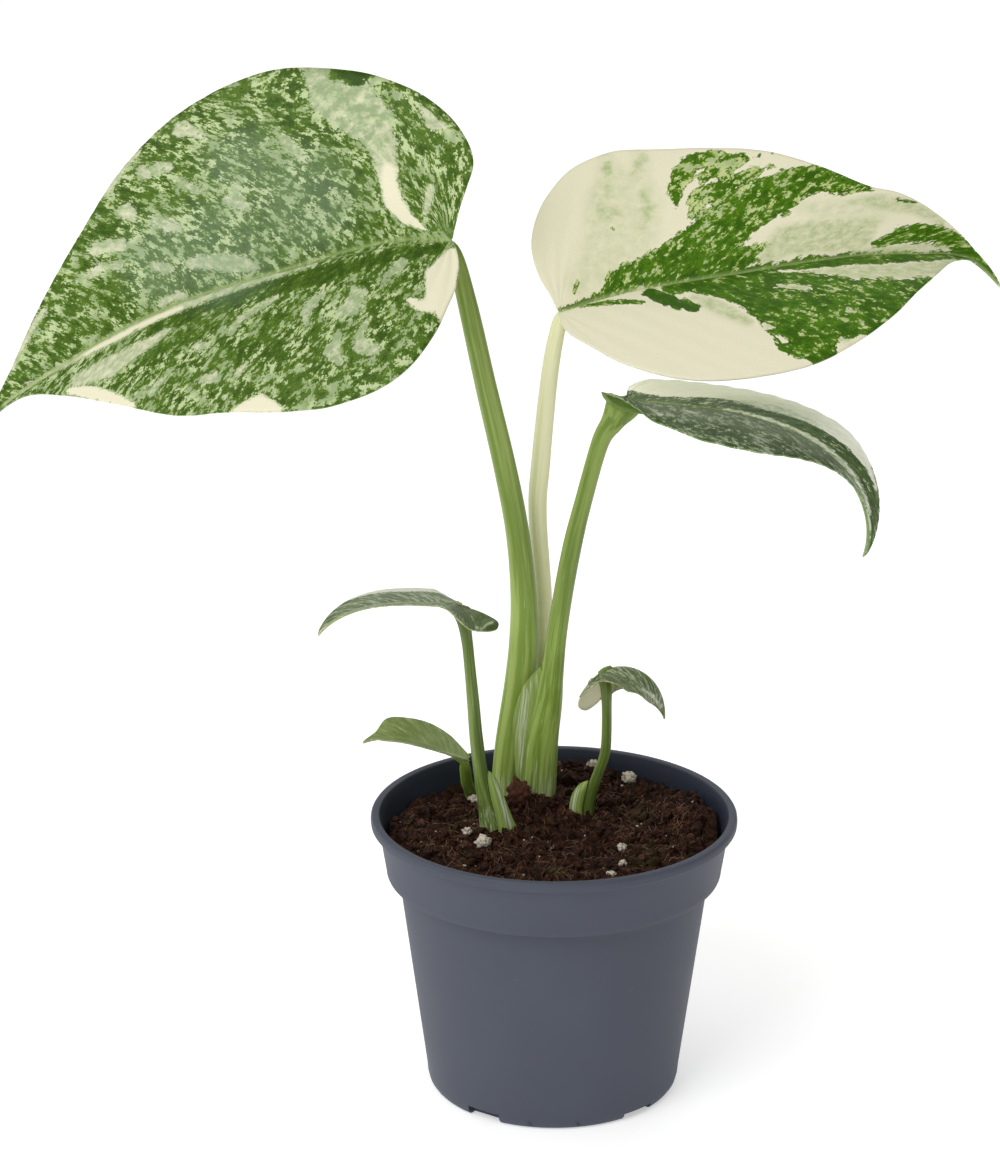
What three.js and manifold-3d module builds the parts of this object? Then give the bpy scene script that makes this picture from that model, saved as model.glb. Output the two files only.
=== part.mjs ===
// A potted juvenile climbing aroid with cream and green leaves, in a 12 cm nursery pot.
// Millimetres, +Z up. The origin is the centre of the pot's flat underside, and -Y is the front.
import * as THREE from 'three';
import { mergeVertices } from 'three/addons/utils/BufferGeometryUtils.js';
import Module from 'manifold-3d';

const wasm = await Module();
wasm.setup();

// Two neighbouring pieces never touch: this is the space left between them.
const GAP = 0.3;

// Driving dimensions of the pot.
const POT = {
  height: 95,
  lipRadius: 60,
  lipHeight: 3.7,
  lipWidth: 3,
  collarTopRadius: 57.4,
  collarFootRadius: 55,
  collarFootHeight: 75,
  bodyTopRadius: 51,
  bodyTopHeight: 73.2,
  innerShoulderHeight: 74.9,
  bodyFootRadius: 42.1,
  bodyFootHeight: 6,
  footRadius: 39.4,
  wall: 1.4,
  floor: 1.6,
  sides: 48,
};
// Its eased corners: how far out each one reaches, and how far up.
const EASE = { foot: [1.5, 0.7], footTop: [2.3, 3], step: 0.9, collar: 0.6, inside: 1.1, lip: 0.7 };

// Notches in the standing edge: where each one is, in degrees round from +X, and how high it is.
const NOTCHES = [[-124, 3.6], [-48, 2.2], [24, 3.6], [96, 3.6], [168, 3.6]];
const NOTCH_WIDTH = 12;
const NOTCH_DEPTH = 2;
const DRAIN_HOLES = { count: 8, radius: 3.2, ring: 29, sides: 12 };

// The soil surface: its mean level, and mounds and dips as centre, height and spread.
const SOIL = { level: 88, radius: 54, rings: 7, sides: 36 };
const MOUNDS = [
  { x: -6, y: 18, height: 6.5, spread: 13 },
  { x: -18, y: -2, height: 2.6, spread: 12 },
  { x: 10, y: 46, height: 3.5, spread: 14 },
  { x: 46, y: 14, height: 4.5, spread: 13 },
  { x: -46, y: -4, height: 2.5, spread: 12 },
  { x: -34, y: 38, height: -3, spread: 14 },
  { x: 0, y: -45, height: 1, spread: 25 },
];

// A leaf's thickness at its midrib and at its margin.
const LEAF_RIB = 1.0;
const LEAF_MARGIN = 0.6;
// A stalk is cut back by its curved leaf at each of these distances over and under it.
const LEAF_ROOM = [0, GAP, 2 * GAP];
// Shares of a leaf's length: what its curl is spread over, and where its lobes' own fold fades out.
const CURL_SHARE = 0.42;
const LOBE_FADE = [-0.12, 0.14];
// hang is the bend of the lobes at this share of the length behind the stalk.
const HANG_SHARE = 0.25;
// The side veins start nearer to the stalk than they end, by this power.
const VEIN_LEAD = 1.35;
// Where each half of the outline starts beside the stalk, and its half width at the tip.
const OUTLINE_START = [-1, 1.2];
const TIP_WIDTH = 0.3;

// A leaf starts at the top of its stalk. heading, rise, roll and twist turn it there, in degrees;
// droop is how far its midrib bends down by the tip, and late says how late that bend comes.
// fold lifts each half from the midrib, by tipFold more at the tip, and curl bends it down again,
// left half first. hang and lobeFold bend the two lobes behind the stalk. left and right are the
// flat outline: distance along the midrib, then distance from it.
const LEAVES = [
  {
    name: 'left_leaf', colour: 0x8fa56d, rows: 28, columns: 4,
    start: [-33.2, 8, 284.3], heading: 172, rise: -10.5, roll: -56, twist: 0, droop: 41, late: 1.94,
    fold: [25, 25], curl: [25, 25], tipFold: [0, 0], hang: 3.6, lobeFold: [0, 0], length: 168,
    left: [[-3, 4], [-5, 12], [-3.5, 22], [4.5, 37], [15, 48.5], [32, 54.5], [52, 55], [76, 49.5],
      [98, 43], [120, 28], [138, 14], [153, 5.5]],
    right: [[-3, 5], [-8, 14], [-11, 24], [-6, 36], [6, 48.5], [24, 58], [48, 63], [72, 58.5],
      [92, 48.5], [112, 33.5], [130, 21], [148, 11]],
  },
  {
    name: 'right_leaf', colour: 0x9db07a, rows: 28, columns: 4,
    start: [1.6, 20, 258.4], heading: 8, rise: 10.5, roll: 36, twist: 0, droop: 52, late: 4.2,
    fold: [24, 24], curl: [30, 30], tipFold: [0, 0], hang: 4.6, lobeFold: [0, 0], length: 148,
    left: [[-2, 6], [-4, 14], [-4, 24], [0.5, 34.5], [8.5, 44.5], [23, 51], [42, 49], [60, 46],
      [80, 38.5], [100, 27], [118, 20], [134, 11]],
    right: [[-1, 6], [0, 14], [5, 23], [13, 34], [27, 44.5], [45, 50], [68, 51], [86, 45], [104, 31],
      [118, 17], [129, 7], [137, 3]],
  },
  {
    name: 'lower_leaf', colour: 0x7d9465, rows: 28, columns: 4,
    start: [22.8, 0.3, 234.7], heading: -16.5, rise: -0.5, roll: -4, twist: -18.4, droop: 110,
    late: 2.52, fold: [7.9, -1.7], curl: [14.6, 20], tipFold: [32.9, 0.3], hang: 0, lobeFold: [0, 35],
    length: 104.4,
    left: [[-2, 6], [-3.2, 14], [-1, 23], [5, 30.5], [16, 35.2], [29, 36.2], [43, 33.4], [56, 30.4],
      [67, 27.4], [77, 20.5], [87, 13.2], [96, 6.3]],
    right: [[-3, 4], [-4, 8], [1, 12.4], [9, 18.4], [18, 25.4], [30, 31.8], [42, 34.6], [52, 33.2],
      [62, 25.2], [72, 15], [84, 6.4], [94, 2.6]],
  },
  {
    name: 'left_shoot_leaf', colour: 0x7b8a63, rows: 18, columns: 3,
    start: [-32.2, -5, 168.6], heading: 186, rise: 5, roll: -2, twist: 0, droop: 58, late: 2.5,
    fold: [17, 1], curl: [2, 10], tipFold: [0, 0], hang: 8, lobeFold: [-34, -20], length: 47,
    left: [[-5, 2], [-10, 4], [-14, 7], [-13, 11], [-7, 13], [4, 12], [17, 11], [30, 8], [40, 4]],
    right: [[-2, 2], [-3, 5], [-3, 9], [0, 12], [6, 14], [14, 14], [24, 13], [34, 10], [41, 6]],
  },
  {
    name: 'low_shoot_leaf', colour: 0x83a055, rows: 16, columns: 3,
    start: [-28.8, 22, 104.6], heading: 178, rise: 22, roll: -25, twist: 0, droop: 46, late: 2.6,
    fold: [40, 8], curl: [10, 10], tipFold: [0, 0], hang: 0, lobeFold: [0, 0], length: 36,
    left: [[0, 2], [3, 4], [8, 6], [15, 8], [22, 8], [28, 7], [31, 3]],
    right: [[0, 2], [3, 4], [8, 7], [15, 9], [22, 9], [28, 8], [31.5, 2.5]],
  },
  {
    name: 'right_shoot_leaf', colour: 0x718560, rows: 18, columns: 3,
    start: [15.7, 8, 140.9], heading: 17.3, rise: 32.5, roll: 7.6, twist: 3.8, droop: 125.7, late: 0.73,
    fold: [-43, -12], curl: [47, -6.7], tipFold: [24, -55.6], hang: 10.7, lobeFold: [12.5, 36],
    length: 35.1,
    left: [[-4, 3.6], [-10, 7.1], [-15, 11.3], [-14.5, 15.5], [-8, 17.3], [2, 16.7], [11, 15.5],
      [19, 11.9], [27, 6]],
    right: [[-3, 3.2], [-8, 5.4], [-11, 8.6], [-9, 11.8], [-2, 13.5], [7, 13.9], [15, 12.8],
      [22, 9.2], [29, 4.3]],
  },
];

// A stalk runs through these points: x, y and z, then its width across and its thickness.
const STALKS = [
  {
    name: 'lower_leaf_stalk', colour: 0x6f9440, under: 'lower_leaf',
    route: [[-5.8, 19, 70, 11.5, 9], [-5.8, 19, 91, 12.4, 9], [-5.9, 18, 101, 13.3, 8.8],
      [-4.9, 15, 115, 13.6, 8], [-2.2, 12.5, 128, 10.5, 7], [-0.8, 10.5, 138, 7.6, 6.4],
      [0.7, 8, 153, 6.5, 6], [2.9, 5, 170, 6.3, 6], [5.7, 2, 187, 6.1, 5.8], [8.8, 0.5, 201, 5.6, 5.4],
      [13.8, 0, 221, 5.4, 5.2], [18.6, 0, 231.4, 5.4, 5.2], [22.8, 0.3, 234.7, 5, 5]],
  },
  {
    name: 'left_leaf_stalk', colour: 0x7f9a44, under: 'left_leaf',
    route: [[-15.5, 24, 70, 9.5, 8.5], [-15.5, 24, 94, 10, 8.5], [-14, 22, 110, 10.8, 8.2],
      [-11, 18, 134, 10.4, 8], [-9.9, 15.5, 150, 9.6, 8], [-10.2, 14, 167, 8.4, 7.4],
      [-12.2, 12, 188, 7.6, 7], [-16.4, 10, 211, 7.3, 6.8], [-22.4, 8.5, 238, 6.8, 6.4],
      [-28, 8, 264, 6.5, 6], [-33.2, 8, 284.3, 5.5, 5.5]],
  },
  {
    name: 'right_leaf_stalk', colour: 0xc7ca9f, under: 'right_leaf',
    route: [[-6.4, 29, 70, 5.5, 5.5], [-6.4, 29, 93, 5.5, 5.5], [-4.5, 25.5, 125, 5.6, 5.4],
      [-3.2, 22, 155, 5.6, 5.4], [-5.5, 20, 190, 6, 5.8], [-4.6, 20, 208, 6.2, 5.9],
      [-2.1, 20, 235, 5.6, 5.4], [0, 20, 249, 5.3, 5.2], [1.6, 20, 258.4, 5.2, 5.2]],
  },
  {
    name: 'left_shoot_stalk', colour: 0x7da050, under: 'left_shoot_leaf',
    route: [[-18.8, -2, 70, 9, 6], [-18.8, -2, 88, 11.5, 6.5], [-20.6, -2.4, 96, 9, 5.6],
      [-23.2, -3, 106, 5.8, 4.8], [-25.3, -4, 121, 4.5, 4.2], [-26.4, -4.5, 135, 4.1, 4],
      [-27.6, -5, 149, 3.6, 3.6], [-28.3, -5, 156, 3.9, 3.8], [-29.6, -5, 163.5, 4.2, 4],
      [-32.2, -5, 168.6, 4, 4]],
  },
  {
    name: 'low_shoot_stalk', colour: 0x8fa554, under: 'low_shoot_leaf',
    route: [[-27.4, 35, 70, 4, 4], [-27.4, 35, 86, 4.2, 4.2], [-28.8, 29, 93.5, 4, 4],
      [-29.3, 24.5, 100.4, 4, 4], [-28.8, 22, 104.6, 3.6, 3.6]],
  },
  {
    name: 'right_shoot_stalk', colour: 0x7da050, under: 'right_shoot_leaf',
    route: [[9.6, 13, 70, 6, 4.6], [9.6, 13, 87.5, 8, 5], [9.9, 12, 95, 8.4, 4.8],
      [12.3, 11, 100, 4.6, 3.8], [14.6, 10, 105.4, 3.6, 3.4], [16.8, 8.4, 112, 3.4, 3.3],
      [17.2, 6.4, 120, 3.3, 3.3], [17.1, 4.8, 130, 3.3, 3.3], [16.8, 5.4, 136, 3.6, 3.5],
      [15.8, 7.6, 140.7, 3.4, 3.4]],
  },
];
const STALK_SIDES = 10;
const STALK_STEPS = 16;

// White grains in the soil surface: centre x and y, then mean radius.
const PERLITE = [[-23.4, -13.4, 2.6], [14, 48.5, 2.3], [26, 42.5, 2.8], [-26.9, 29.6, 1.9],
  [-28.5, -4.9, 1.5], [21.7, -16, 1.8], [21.6, -29, 1.5], [17.5, -39.2, 1.6]];
// A grain's length, depth and height as shares of its radius, and how high its middle lies.
const PERLITE_SHAPE = [1, 0.9, 0.8];
const PERLITE_RISE = 0.3;
// How far a grain's corners stand in or out, as a share of its size.
const GRAIN_ROUGH = 0.14;

// The dry red-brown scale in front of the main stalks: its centre and half sizes.
const HUSK = { centre: [-11.9, 9.5, 97.2], half: [3.7, 2.6, 5] };

const plant = new THREE.Group();

function addPiece(name, geometry, colour, roughness) {
  const material = new THREE.MeshStandardMaterial({ color: colour, roughness, metalness: 0 });
  const mesh = new THREE.Mesh(geometry, material);
  mesh.name = name;
  plant.add(mesh);
}

function bareGeometry(geometry) {
  geometry.deleteAttribute('normal');
  geometry.deleteAttribute('uv');
  return mergeVertices(geometry, 1e-4);
}

function toSolid(geometry) {
  const bare = bareGeometry(geometry);
  const vertProperties = new Float32Array(bare.attributes.position.array);
  const triVerts = new Uint32Array(bare.index.array);
  return new wasm.Manifold(new wasm.Mesh({ numProp: 3, vertProperties, triVerts }));
}

function toGeometry(solid) {
  const mesh = solid.getMesh();
  const geometry = new THREE.BufferGeometry();
  geometry.setAttribute('position', new THREE.BufferAttribute(mesh.vertProperties, 3));
  geometry.setIndex(new THREE.BufferAttribute(mesh.triVerts, 1));
  return geometry;
}

// A cut can leave a sliver behind, so only the largest body of a piece is kept.
function largestBody(solid) {
  const bodies = solid.decompose();
  return bodies.reduce((best, body) => (body.volume() > best.volume() ? body : best));
}

// Moves every vertex of a geometry to the place that a function gives for it.
function reshape(geometry, place) {
  const position = geometry.attributes.position;
  const point = new THREE.Vector3();
  for (let i = 0; i < position.count; i += 1) {
    point.fromBufferAttribute(position, i);
    const moved = place(point);
    position.setXYZ(i, moved.x, moved.y, moved.z);
  }
  return geometry;
}

// The pot

function potProfile() {
  const inner = POT.wall;
  const outline = [
    [0, 0],
    [POT.footRadius, 0],
    [POT.footRadius + EASE.foot[0], EASE.foot[1]],
    [POT.footRadius + EASE.footTop[0], EASE.footTop[1]],
    [POT.bodyFootRadius, POT.bodyFootHeight],
    [POT.bodyTopRadius, POT.bodyTopHeight],
    [POT.bodyTopRadius + EASE.step, POT.bodyTopHeight + EASE.step],
    [POT.collarFootRadius - EASE.collar, POT.collarFootHeight - EASE.collar],
    [POT.collarFootRadius, POT.collarFootHeight],
    [POT.collarTopRadius, POT.height - POT.lipHeight],
    [POT.lipRadius, POT.height - POT.lipHeight],
    [POT.lipRadius, POT.height - EASE.lip],
    [POT.lipRadius - EASE.lip, POT.height],
    [POT.lipRadius - POT.lipWidth, POT.height],
    [POT.collarTopRadius - inner, POT.height - POT.lipHeight],
    [POT.collarFootRadius - inner, POT.innerShoulderHeight + EASE.inside],
    [POT.bodyTopRadius - inner, POT.innerShoulderHeight],
    [POT.bodyFootRadius - inner, POT.bodyFootHeight],
    [POT.footRadius, POT.floor],
    [0, POT.floor],
  ];
  return outline.map(([radius, height]) => new THREE.Vector2(radius, height));
}

function notchCutter([angle, height]) {
  const depth = POT.lipRadius;
  const box = new THREE.BoxGeometry(depth, NOTCH_WIDTH, 2 * height);
  box.translate(POT.footRadius - NOTCH_DEPTH + depth / 2, 0, 0);
  box.rotateZ(THREE.MathUtils.degToRad(angle));
  return toSolid(box);
}

function drainCutter(index) {
  const { radius, sides } = DRAIN_HOLES;
  const cutter = new THREE.CylinderGeometry(radius, radius, 3 * POT.floor, sides);
  cutter.rotateX(Math.PI / 2);
  cutter.translate(DRAIN_HOLES.ring, 0, 0.5 * POT.floor);
  cutter.rotateZ((index * 2 * Math.PI) / DRAIN_HOLES.count);
  return toSolid(cutter);
}

function buildPot() {
  const turned = new THREE.LatheGeometry(potProfile(), POT.sides);
  turned.rotateX(Math.PI / 2);
  let pot = toSolid(turned);
  for (const notch of NOTCHES) {
    pot = pot.subtract(notchCutter(notch));
  }
  for (let i = 0; i < DRAIN_HOLES.count; i += 1) {
    pot = pot.subtract(drainCutter(i));
  }
  addPiece('pot', toGeometry(pot), 0x5a5f6b, 0.6);
}

// The leaves

// The midrib as a list of frames: a point, the way forward, the way left and the way up.
function midribFrames(leaf) {
  const steps = 120;
  const back = -0.5 * leaf.length;
  const step = (1.02 * leaf.length - back) / steps;
  const frames = [];
  const place = new THREE.Vector3();
  for (let i = 0; i <= steps; i += 1) {
    const along = back + i * step;
    const part = along / leaf.length;
    const bend = part > 0 ? -leaf.droop * part ** leaf.late : (-part / HANG_SHARE) * leaf.hang;
    const pitch = THREE.MathUtils.degToRad(leaf.rise + bend);
    const heading = THREE.MathUtils.degToRad(leaf.heading);
    const forward = new THREE.Vector3(
      Math.cos(heading) * Math.cos(pitch),
      Math.sin(heading) * Math.cos(pitch),
      Math.sin(pitch),
    );
    const left = new THREE.Vector3(-Math.sin(heading), Math.cos(heading), 0);
    left.applyAxisAngle(forward, THREE.MathUtils.degToRad(leaf.roll + leaf.twist * part));
    const up = new THREE.Vector3().crossVectors(forward, left);
    if (i > 0) {
      place.addScaledVector(frames[i - 1].forward, step / 2).addScaledVector(forward, step / 2);
    }
    frames.push({ along, place: place.clone(), forward, left, up });
  }
  const shift = new THREE.Vector3(...leaf.start).sub(sampleFrames(frames, 0).place);
  frames.forEach((frame) => frame.place.add(shift));
  return frames;
}

function sampleFrames(frames, along) {
  const step = frames[1].along - frames[0].along;
  const where = THREE.MathUtils.clamp((along - frames[0].along) / step, 0, frames.length - 1.001);
  const low = Math.floor(where);
  const mix = where - low;
  const frame = {};
  for (const key of ['place', 'forward', 'left', 'up']) {
    frame[key] = frames[low][key].clone().lerp(frames[low + 1][key], mix);
  }
  return frame;
}

// The point of the curved leaf that belongs to a point of the flat one, lifted off its middle layer.
function leafPoint(leaf, frames, along, across, lift) {
  const frame = sampleFrames(frames, along);
  const side = across > 0 ? 0 : 1;
  const distance = Math.abs(across);
  const lobe = 1 - THREE.MathUtils.smoothstep(along / leaf.length, ...LOBE_FADE);
  const tip = Math.max(along / leaf.length, 0) ** 2;
  const fold = THREE.MathUtils.degToRad(
    leaf.fold[side] + leaf.lobeFold[side] * lobe + leaf.tipFold[side] * tip,
  );
  const bend = THREE.MathUtils.degToRad(leaf.curl[side]) / (CURL_SHARE * leaf.length);
  const slope = fold - bend * distance;
  const out = (Math.sin(fold) - Math.sin(slope)) / bend;
  const rise = (Math.cos(slope) - Math.cos(fold)) / bend;
  const tilt = distance < 1e-6 ? 0 : slope;
  const sideways = side === 0 ? 1 : -1;
  return frame.place
    .addScaledVector(frame.left, sideways * (out - lift * Math.sin(tilt)))
    .addScaledVector(frame.up, rise + lift * Math.cos(tilt));
}

// Half of the outline as a smooth curve, from beside the stalk round the lobe to the tip.
function outlineCurve(leaf, points) {
  const ends = [new THREE.Vector2(...OUTLINE_START), new THREE.Vector2(leaf.length, TIP_WIDTH)];
  const middle = points.map(([along, across]) => new THREE.Vector2(along, across));
  return new THREE.SplineCurve([ends[0], ...middle, ends[1]]);
}

// A leaf is a thin box whose length follows the outline and whose width follows the side veins.
function leafGeometry(leaf, extra) {
  const frames = midribFrames(leaf);
  const curves = [outlineCurve(leaf, leaf.left), outlineCurve(leaf, leaf.right)];
  const sheet = new THREE.BoxGeometry(1, 2, 1, leaf.rows, 2 * leaf.columns, 1);
  return reshape(sheet, (point) => {
    const run = point.x + 0.5;
    const spread = Math.abs(point.y);
    const margin = curves[point.y > 0 ? 0 : 1].getPoint(run);
    const root = leaf.length * run ** VEIN_LEAD;
    const along = root + (margin.x - root) * spread - 2 * extra * (1 - run) ** 6;
    const across = Math.sign(point.y) * (margin.y + extra) * spread;
    const thickness = THREE.MathUtils.lerp(LEAF_RIB, LEAF_MARGIN, spread) + 2 * extra;
    return leafPoint(leaf, frames, along, across, point.z * thickness);
  });
}

function buildLeaves() {
  for (const leaf of LEAVES) {
    addPiece(leaf.name, bareGeometry(leafGeometry(leaf, 0)), leaf.colour, 0.45);
  }
}

// The stalks

function stalkGeometry(stalk, extra) {
  const curve = new THREE.CatmullRomCurve3(stalk.route.map(([x, y, z]) => new THREE.Vector3(x, y, z)));
  const girth = (run, column) => {
    const where = run * (stalk.route.length - 1);
    const low = Math.min(Math.floor(where), stalk.route.length - 2);
    return THREE.MathUtils.lerp(stalk.route[low][column], stalk.route[low + 1][column], where - low);
  };
  const tube = new THREE.CylinderGeometry(1, 1, 1, STALK_SIDES, STALK_STEPS);
  return reshape(tube, (point) => {
    const run = point.y + 0.5;
    const forward = curve.getTangent(run);
    const side = new THREE.Vector3(1, 0, 0).addScaledVector(forward, -forward.x).normalize();
    const front = new THREE.Vector3().crossVectors(side, forward);
    return curve.getPoint(run)
      .addScaledVector(side, point.x * (girth(run, 3) / 2 + extra))
      .addScaledVector(front, point.z * (girth(run, 4) / 2 + extra));
  });
}

// Each stalk gives way to its own leaf and to the stalks that were made before it.
function buildStalks() {
  const taken = [];
  for (const stalk of STALKS) {
    const leaf = LEAVES.find((candidate) => candidate.name === stalk.under);
    let solid = toSolid(stalkGeometry(stalk, 0));
    for (const room of LEAF_ROOM) {
      solid = solid.subtract(toSolid(leafGeometry(leaf, room)));
    }
    for (const other of taken) {
      solid = solid.subtract(other);
    }
    taken.push(toSolid(stalkGeometry(stalk, GAP)));
    addPiece(stalk.name, toGeometry(largestBody(solid)), stalk.colour, 0.5);
  }
  return taken;
}

// The soil and what lies in it

function soilHeight(x, y) {
  return MOUNDS.reduce((height, mound) => {
    const distance = Math.hypot(x - mound.x, y - mound.y) / mound.spread;
    return height + mound.height * Math.exp(-distance * distance);
  }, SOIL.level);
}

// A rough grain: a low-sided ball whose corners stand in or out by a fixed rule.
function grainGeometry(centre, half, seed) {
  const ball = new THREE.IcosahedronGeometry(1, 1);
  return reshape(ball, (point) => {
    const wave = Math.sin(7 * point.x + seed) * Math.cos(5 * point.y + 6 * point.z + seed);
    const rough = 1 + GRAIN_ROUGH * wave;
    return new THREE.Vector3(
      centre[0] + half[0] * rough * point.x,
      centre[1] + half[1] * rough * point.y,
      centre[2] + half[2] * rough * point.z,
    );
  });
}

function buildLooseBits() {
  const taken = [];
  const addBit = (name, centre, half, seed, colour) => {
    addPiece(name, bareGeometry(grainGeometry(centre, half, seed)), colour, 0.9);
    taken.push(toSolid(grainGeometry(centre, half.map((size) => size + GAP), seed)));
  };
  PERLITE.forEach(([x, y, radius], index) => {
    const centre = [x, y, soilHeight(x, y) + PERLITE_RISE * radius];
    const half = PERLITE_SHAPE.map((share) => share * radius);
    addBit(`perlite_${index + 1}`, centre, half, index, 0xe8e2d4);
  });
  addBit('husk', HUSK.centre, HUSK.half, 3, 0x5c2416);
  return taken;
}

function buildSoil(pockets) {
  const outline = [
    [0, POT.floor + GAP],
    [POT.footRadius - GAP, POT.floor + GAP],
    [POT.bodyFootRadius - POT.wall - 1.5 * GAP, POT.bodyFootHeight],
    [POT.bodyTopRadius - POT.wall - 1.5 * GAP, POT.innerShoulderHeight + GAP],
    [POT.collarFootRadius - POT.wall - 2 * GAP, POT.innerShoulderHeight + EASE.inside + GAP],
  ];
  for (let ring = SOIL.rings; ring >= 0; ring -= 1) {
    outline.push([(SOIL.radius * ring) / SOIL.rings, SOIL.level]);
  }
  const profile = outline.map(([radius, height]) => new THREE.Vector2(radius, height));
  const filling = new THREE.LatheGeometry(profile, SOIL.sides);
  filling.rotateX(Math.PI / 2);
  reshape(filling, (point) => {
    const onTop = point.z > SOIL.level - 0.01;
    return new THREE.Vector3(point.x, point.y, onTop ? soilHeight(point.x, point.y) : point.z);
  });
  let soil = toSolid(filling);
  for (const pocket of pockets) {
    soil = soil.subtract(pocket);
  }
  addPiece('soil', toGeometry(largestBody(soil)), 0x2e1d16, 0.95);
}

buildPot();
buildLeaves();
const stalksTaken = buildStalks();
const bitsTaken = buildLooseBits();
buildSoil([...stalksTaken, ...bitsTaken]);

export default plant;
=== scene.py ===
"""Looks of a young climbing aroid with cream and green leaves, in its 12 cm nursery pot."""

import logging
import math
from dataclasses import dataclass, field
from enum import Enum
from typing import Sequence

import bpy
import numpy as np
from bpy.types import Material, MeshEdge, Node, NodeSocket, NodeTree, Object, Scene
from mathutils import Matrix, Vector, noise


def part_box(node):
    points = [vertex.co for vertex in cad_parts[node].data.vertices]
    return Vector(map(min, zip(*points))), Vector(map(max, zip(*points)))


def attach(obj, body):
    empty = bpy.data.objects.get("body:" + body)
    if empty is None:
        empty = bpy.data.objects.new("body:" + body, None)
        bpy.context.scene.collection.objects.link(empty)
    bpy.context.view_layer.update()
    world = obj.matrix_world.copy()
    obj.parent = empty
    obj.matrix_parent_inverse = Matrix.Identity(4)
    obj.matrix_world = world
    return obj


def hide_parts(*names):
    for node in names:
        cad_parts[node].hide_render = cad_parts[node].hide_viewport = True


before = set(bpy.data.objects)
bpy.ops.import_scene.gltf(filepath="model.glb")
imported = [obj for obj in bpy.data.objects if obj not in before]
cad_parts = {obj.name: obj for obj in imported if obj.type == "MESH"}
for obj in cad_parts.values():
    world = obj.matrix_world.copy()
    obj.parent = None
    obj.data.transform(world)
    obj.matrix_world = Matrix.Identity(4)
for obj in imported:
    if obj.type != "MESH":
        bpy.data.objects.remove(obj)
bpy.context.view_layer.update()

MM = 0.001
BODY = "root"
SEED = 20
# How many mm along a stalk its skin's pattern takes for one mm round it, the soil's height at the
# stalks, and the heights between which painted shade darkens the stalks, all in mm.
SKIN_STRETCH = 30
SOIL_TOP = 86
PAINTED_SHADE_SPAN = (125, 190)
LOG = logging.getLogger("potted_aroid")

Point = tuple[float, float, float]
Pair = tuple[float, float]
# What may feed a node's input: another node, one of its sockets, or a hex colour.
Source = Node | NodeSocket | str


def linear(colour: str) -> tuple[float, float, float, float]:
    """Turns an sRGB hex colour into the linear colour that the shaders use.

    Args:
        colour: six hex digits after a hash.

    Returns:
        Linear red, green, blue and an alpha of one.
    """
    parts = [int(colour[i:i + 2], 16) / 255 for i in (1, 3, 5)]
    low = [part / 12.92 if part <= 0.04045 else ((part + 0.055) / 1.055) ** 2.4 for part in parts]
    return (low[0], low[1], low[2], 1.0)


def add_node(tree: NodeTree, kind: str, settings: dict, links: dict) -> Node:
    """Adds one shader node with its settings and links.

    Args:
        tree: the material's node tree.
        kind: the node's type, without its ShaderNode prefix.
        settings: values by property name, or by input name or number.
        links: what feeds each input, by input name or number: a socket, a node whose first
            live output is meant, or a hex colour.

    Returns:
        The new node.
    """
    node = tree.nodes.new("ShaderNode" + kind)
    for key, value in settings.items():
        if isinstance(key, str) and hasattr(node, key):
            setattr(node, key, value)
        else:
            node.inputs[key].default_value = value
    for key, source in links.items():
        if isinstance(source, str):
            node.inputs[key].default_value = linear(source)
            continue
        if isinstance(source, Node):
            source = next(output for output in source.outputs if output.enabled)
        tree.links.new(source, node.inputs[key])
    return node


def add_wave(tree: NodeTree, base: Source, wave: Source, size: float) -> Node:
    """Adds noise, centred on zero, to a value, at a given size."""
    centred = add_node(tree, "Math", {"operation": "SUBTRACT", 1: 0.5}, {0: wave})
    return add_node(tree, "Math", {"operation": "MULTIPLY_ADD", 1: size}, {0: centred, 2: base})


def tint(tree: NodeTree, wave: Source, span: Pair, under: Source, over: Source,
         most: float = 1.0, rise: str = "SMOOTHSTEP") -> Node:
    """Fades one colour into another as a value rises.

    Args:
        tree: the material's node tree.
        wave: the value.
        span: the values at which the fade starts and ends.
        under: the colour below the span.
        over: the colour above it.
        most: how much of the second colour there is at the end.
        rise: the fade's curve.

    Returns:
        The node that mixes them.
    """
    settings = {"interpolation_type": rise, 1: span[0], 2: span[1], 4: most}
    part = add_node(tree, "MapRange", settings, {0: wave})
    return add_node(tree, "Mix", {"data_type": "RGBA"}, {0: part, 6: under, 7: over})


def deselect_all() -> None:
    """Leaves nothing selected, so that the next operator acts on its own piece alone."""
    bpy.ops.object.select_all(action="DESELECT")


def make_active(piece: Object) -> None:
    """Selects one piece alone and makes it the active one.

    Args:
        piece: the piece.
    """
    deselect_all()
    piece.select_set(True)
    bpy.context.view_layer.objects.active = piece


def positions(piece: Object) -> np.ndarray:
    """Reads a mesh's points.

    Args:
        piece: the mesh object.

    Returns:
        Its points in metres, one row each.
    """
    points = np.zeros(3 * len(piece.data.vertices), np.float32)
    piece.data.vertices.foreach_get("co", points)
    return points.reshape(-1, 3).astype(float)


def place_points(piece: Object, points: np.ndarray) -> None:
    """Writes a mesh's points in metres, one row each."""
    piece.data.vertices.foreach_set("co", points.astype(np.float32).ravel())
    piece.data.update()


def new_sheet(rows: int, columns: int) -> tuple[Object, np.ndarray, np.ndarray]:
    """Adds a flat grid of rows and columns.

    Args:
        rows: how many steps it has along.
        columns: how many steps it has across.

    Returns:
        The grid, and how far along and across it each point lies, from -1 to 1.
    """
    deselect_all()
    bpy.ops.mesh.primitive_grid_add(x_subdivisions=rows, y_subdivisions=columns, size=2)
    sheet = bpy.context.active_object
    points = positions(sheet)
    return sheet, points[:, 0], points[:, 1]


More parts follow.
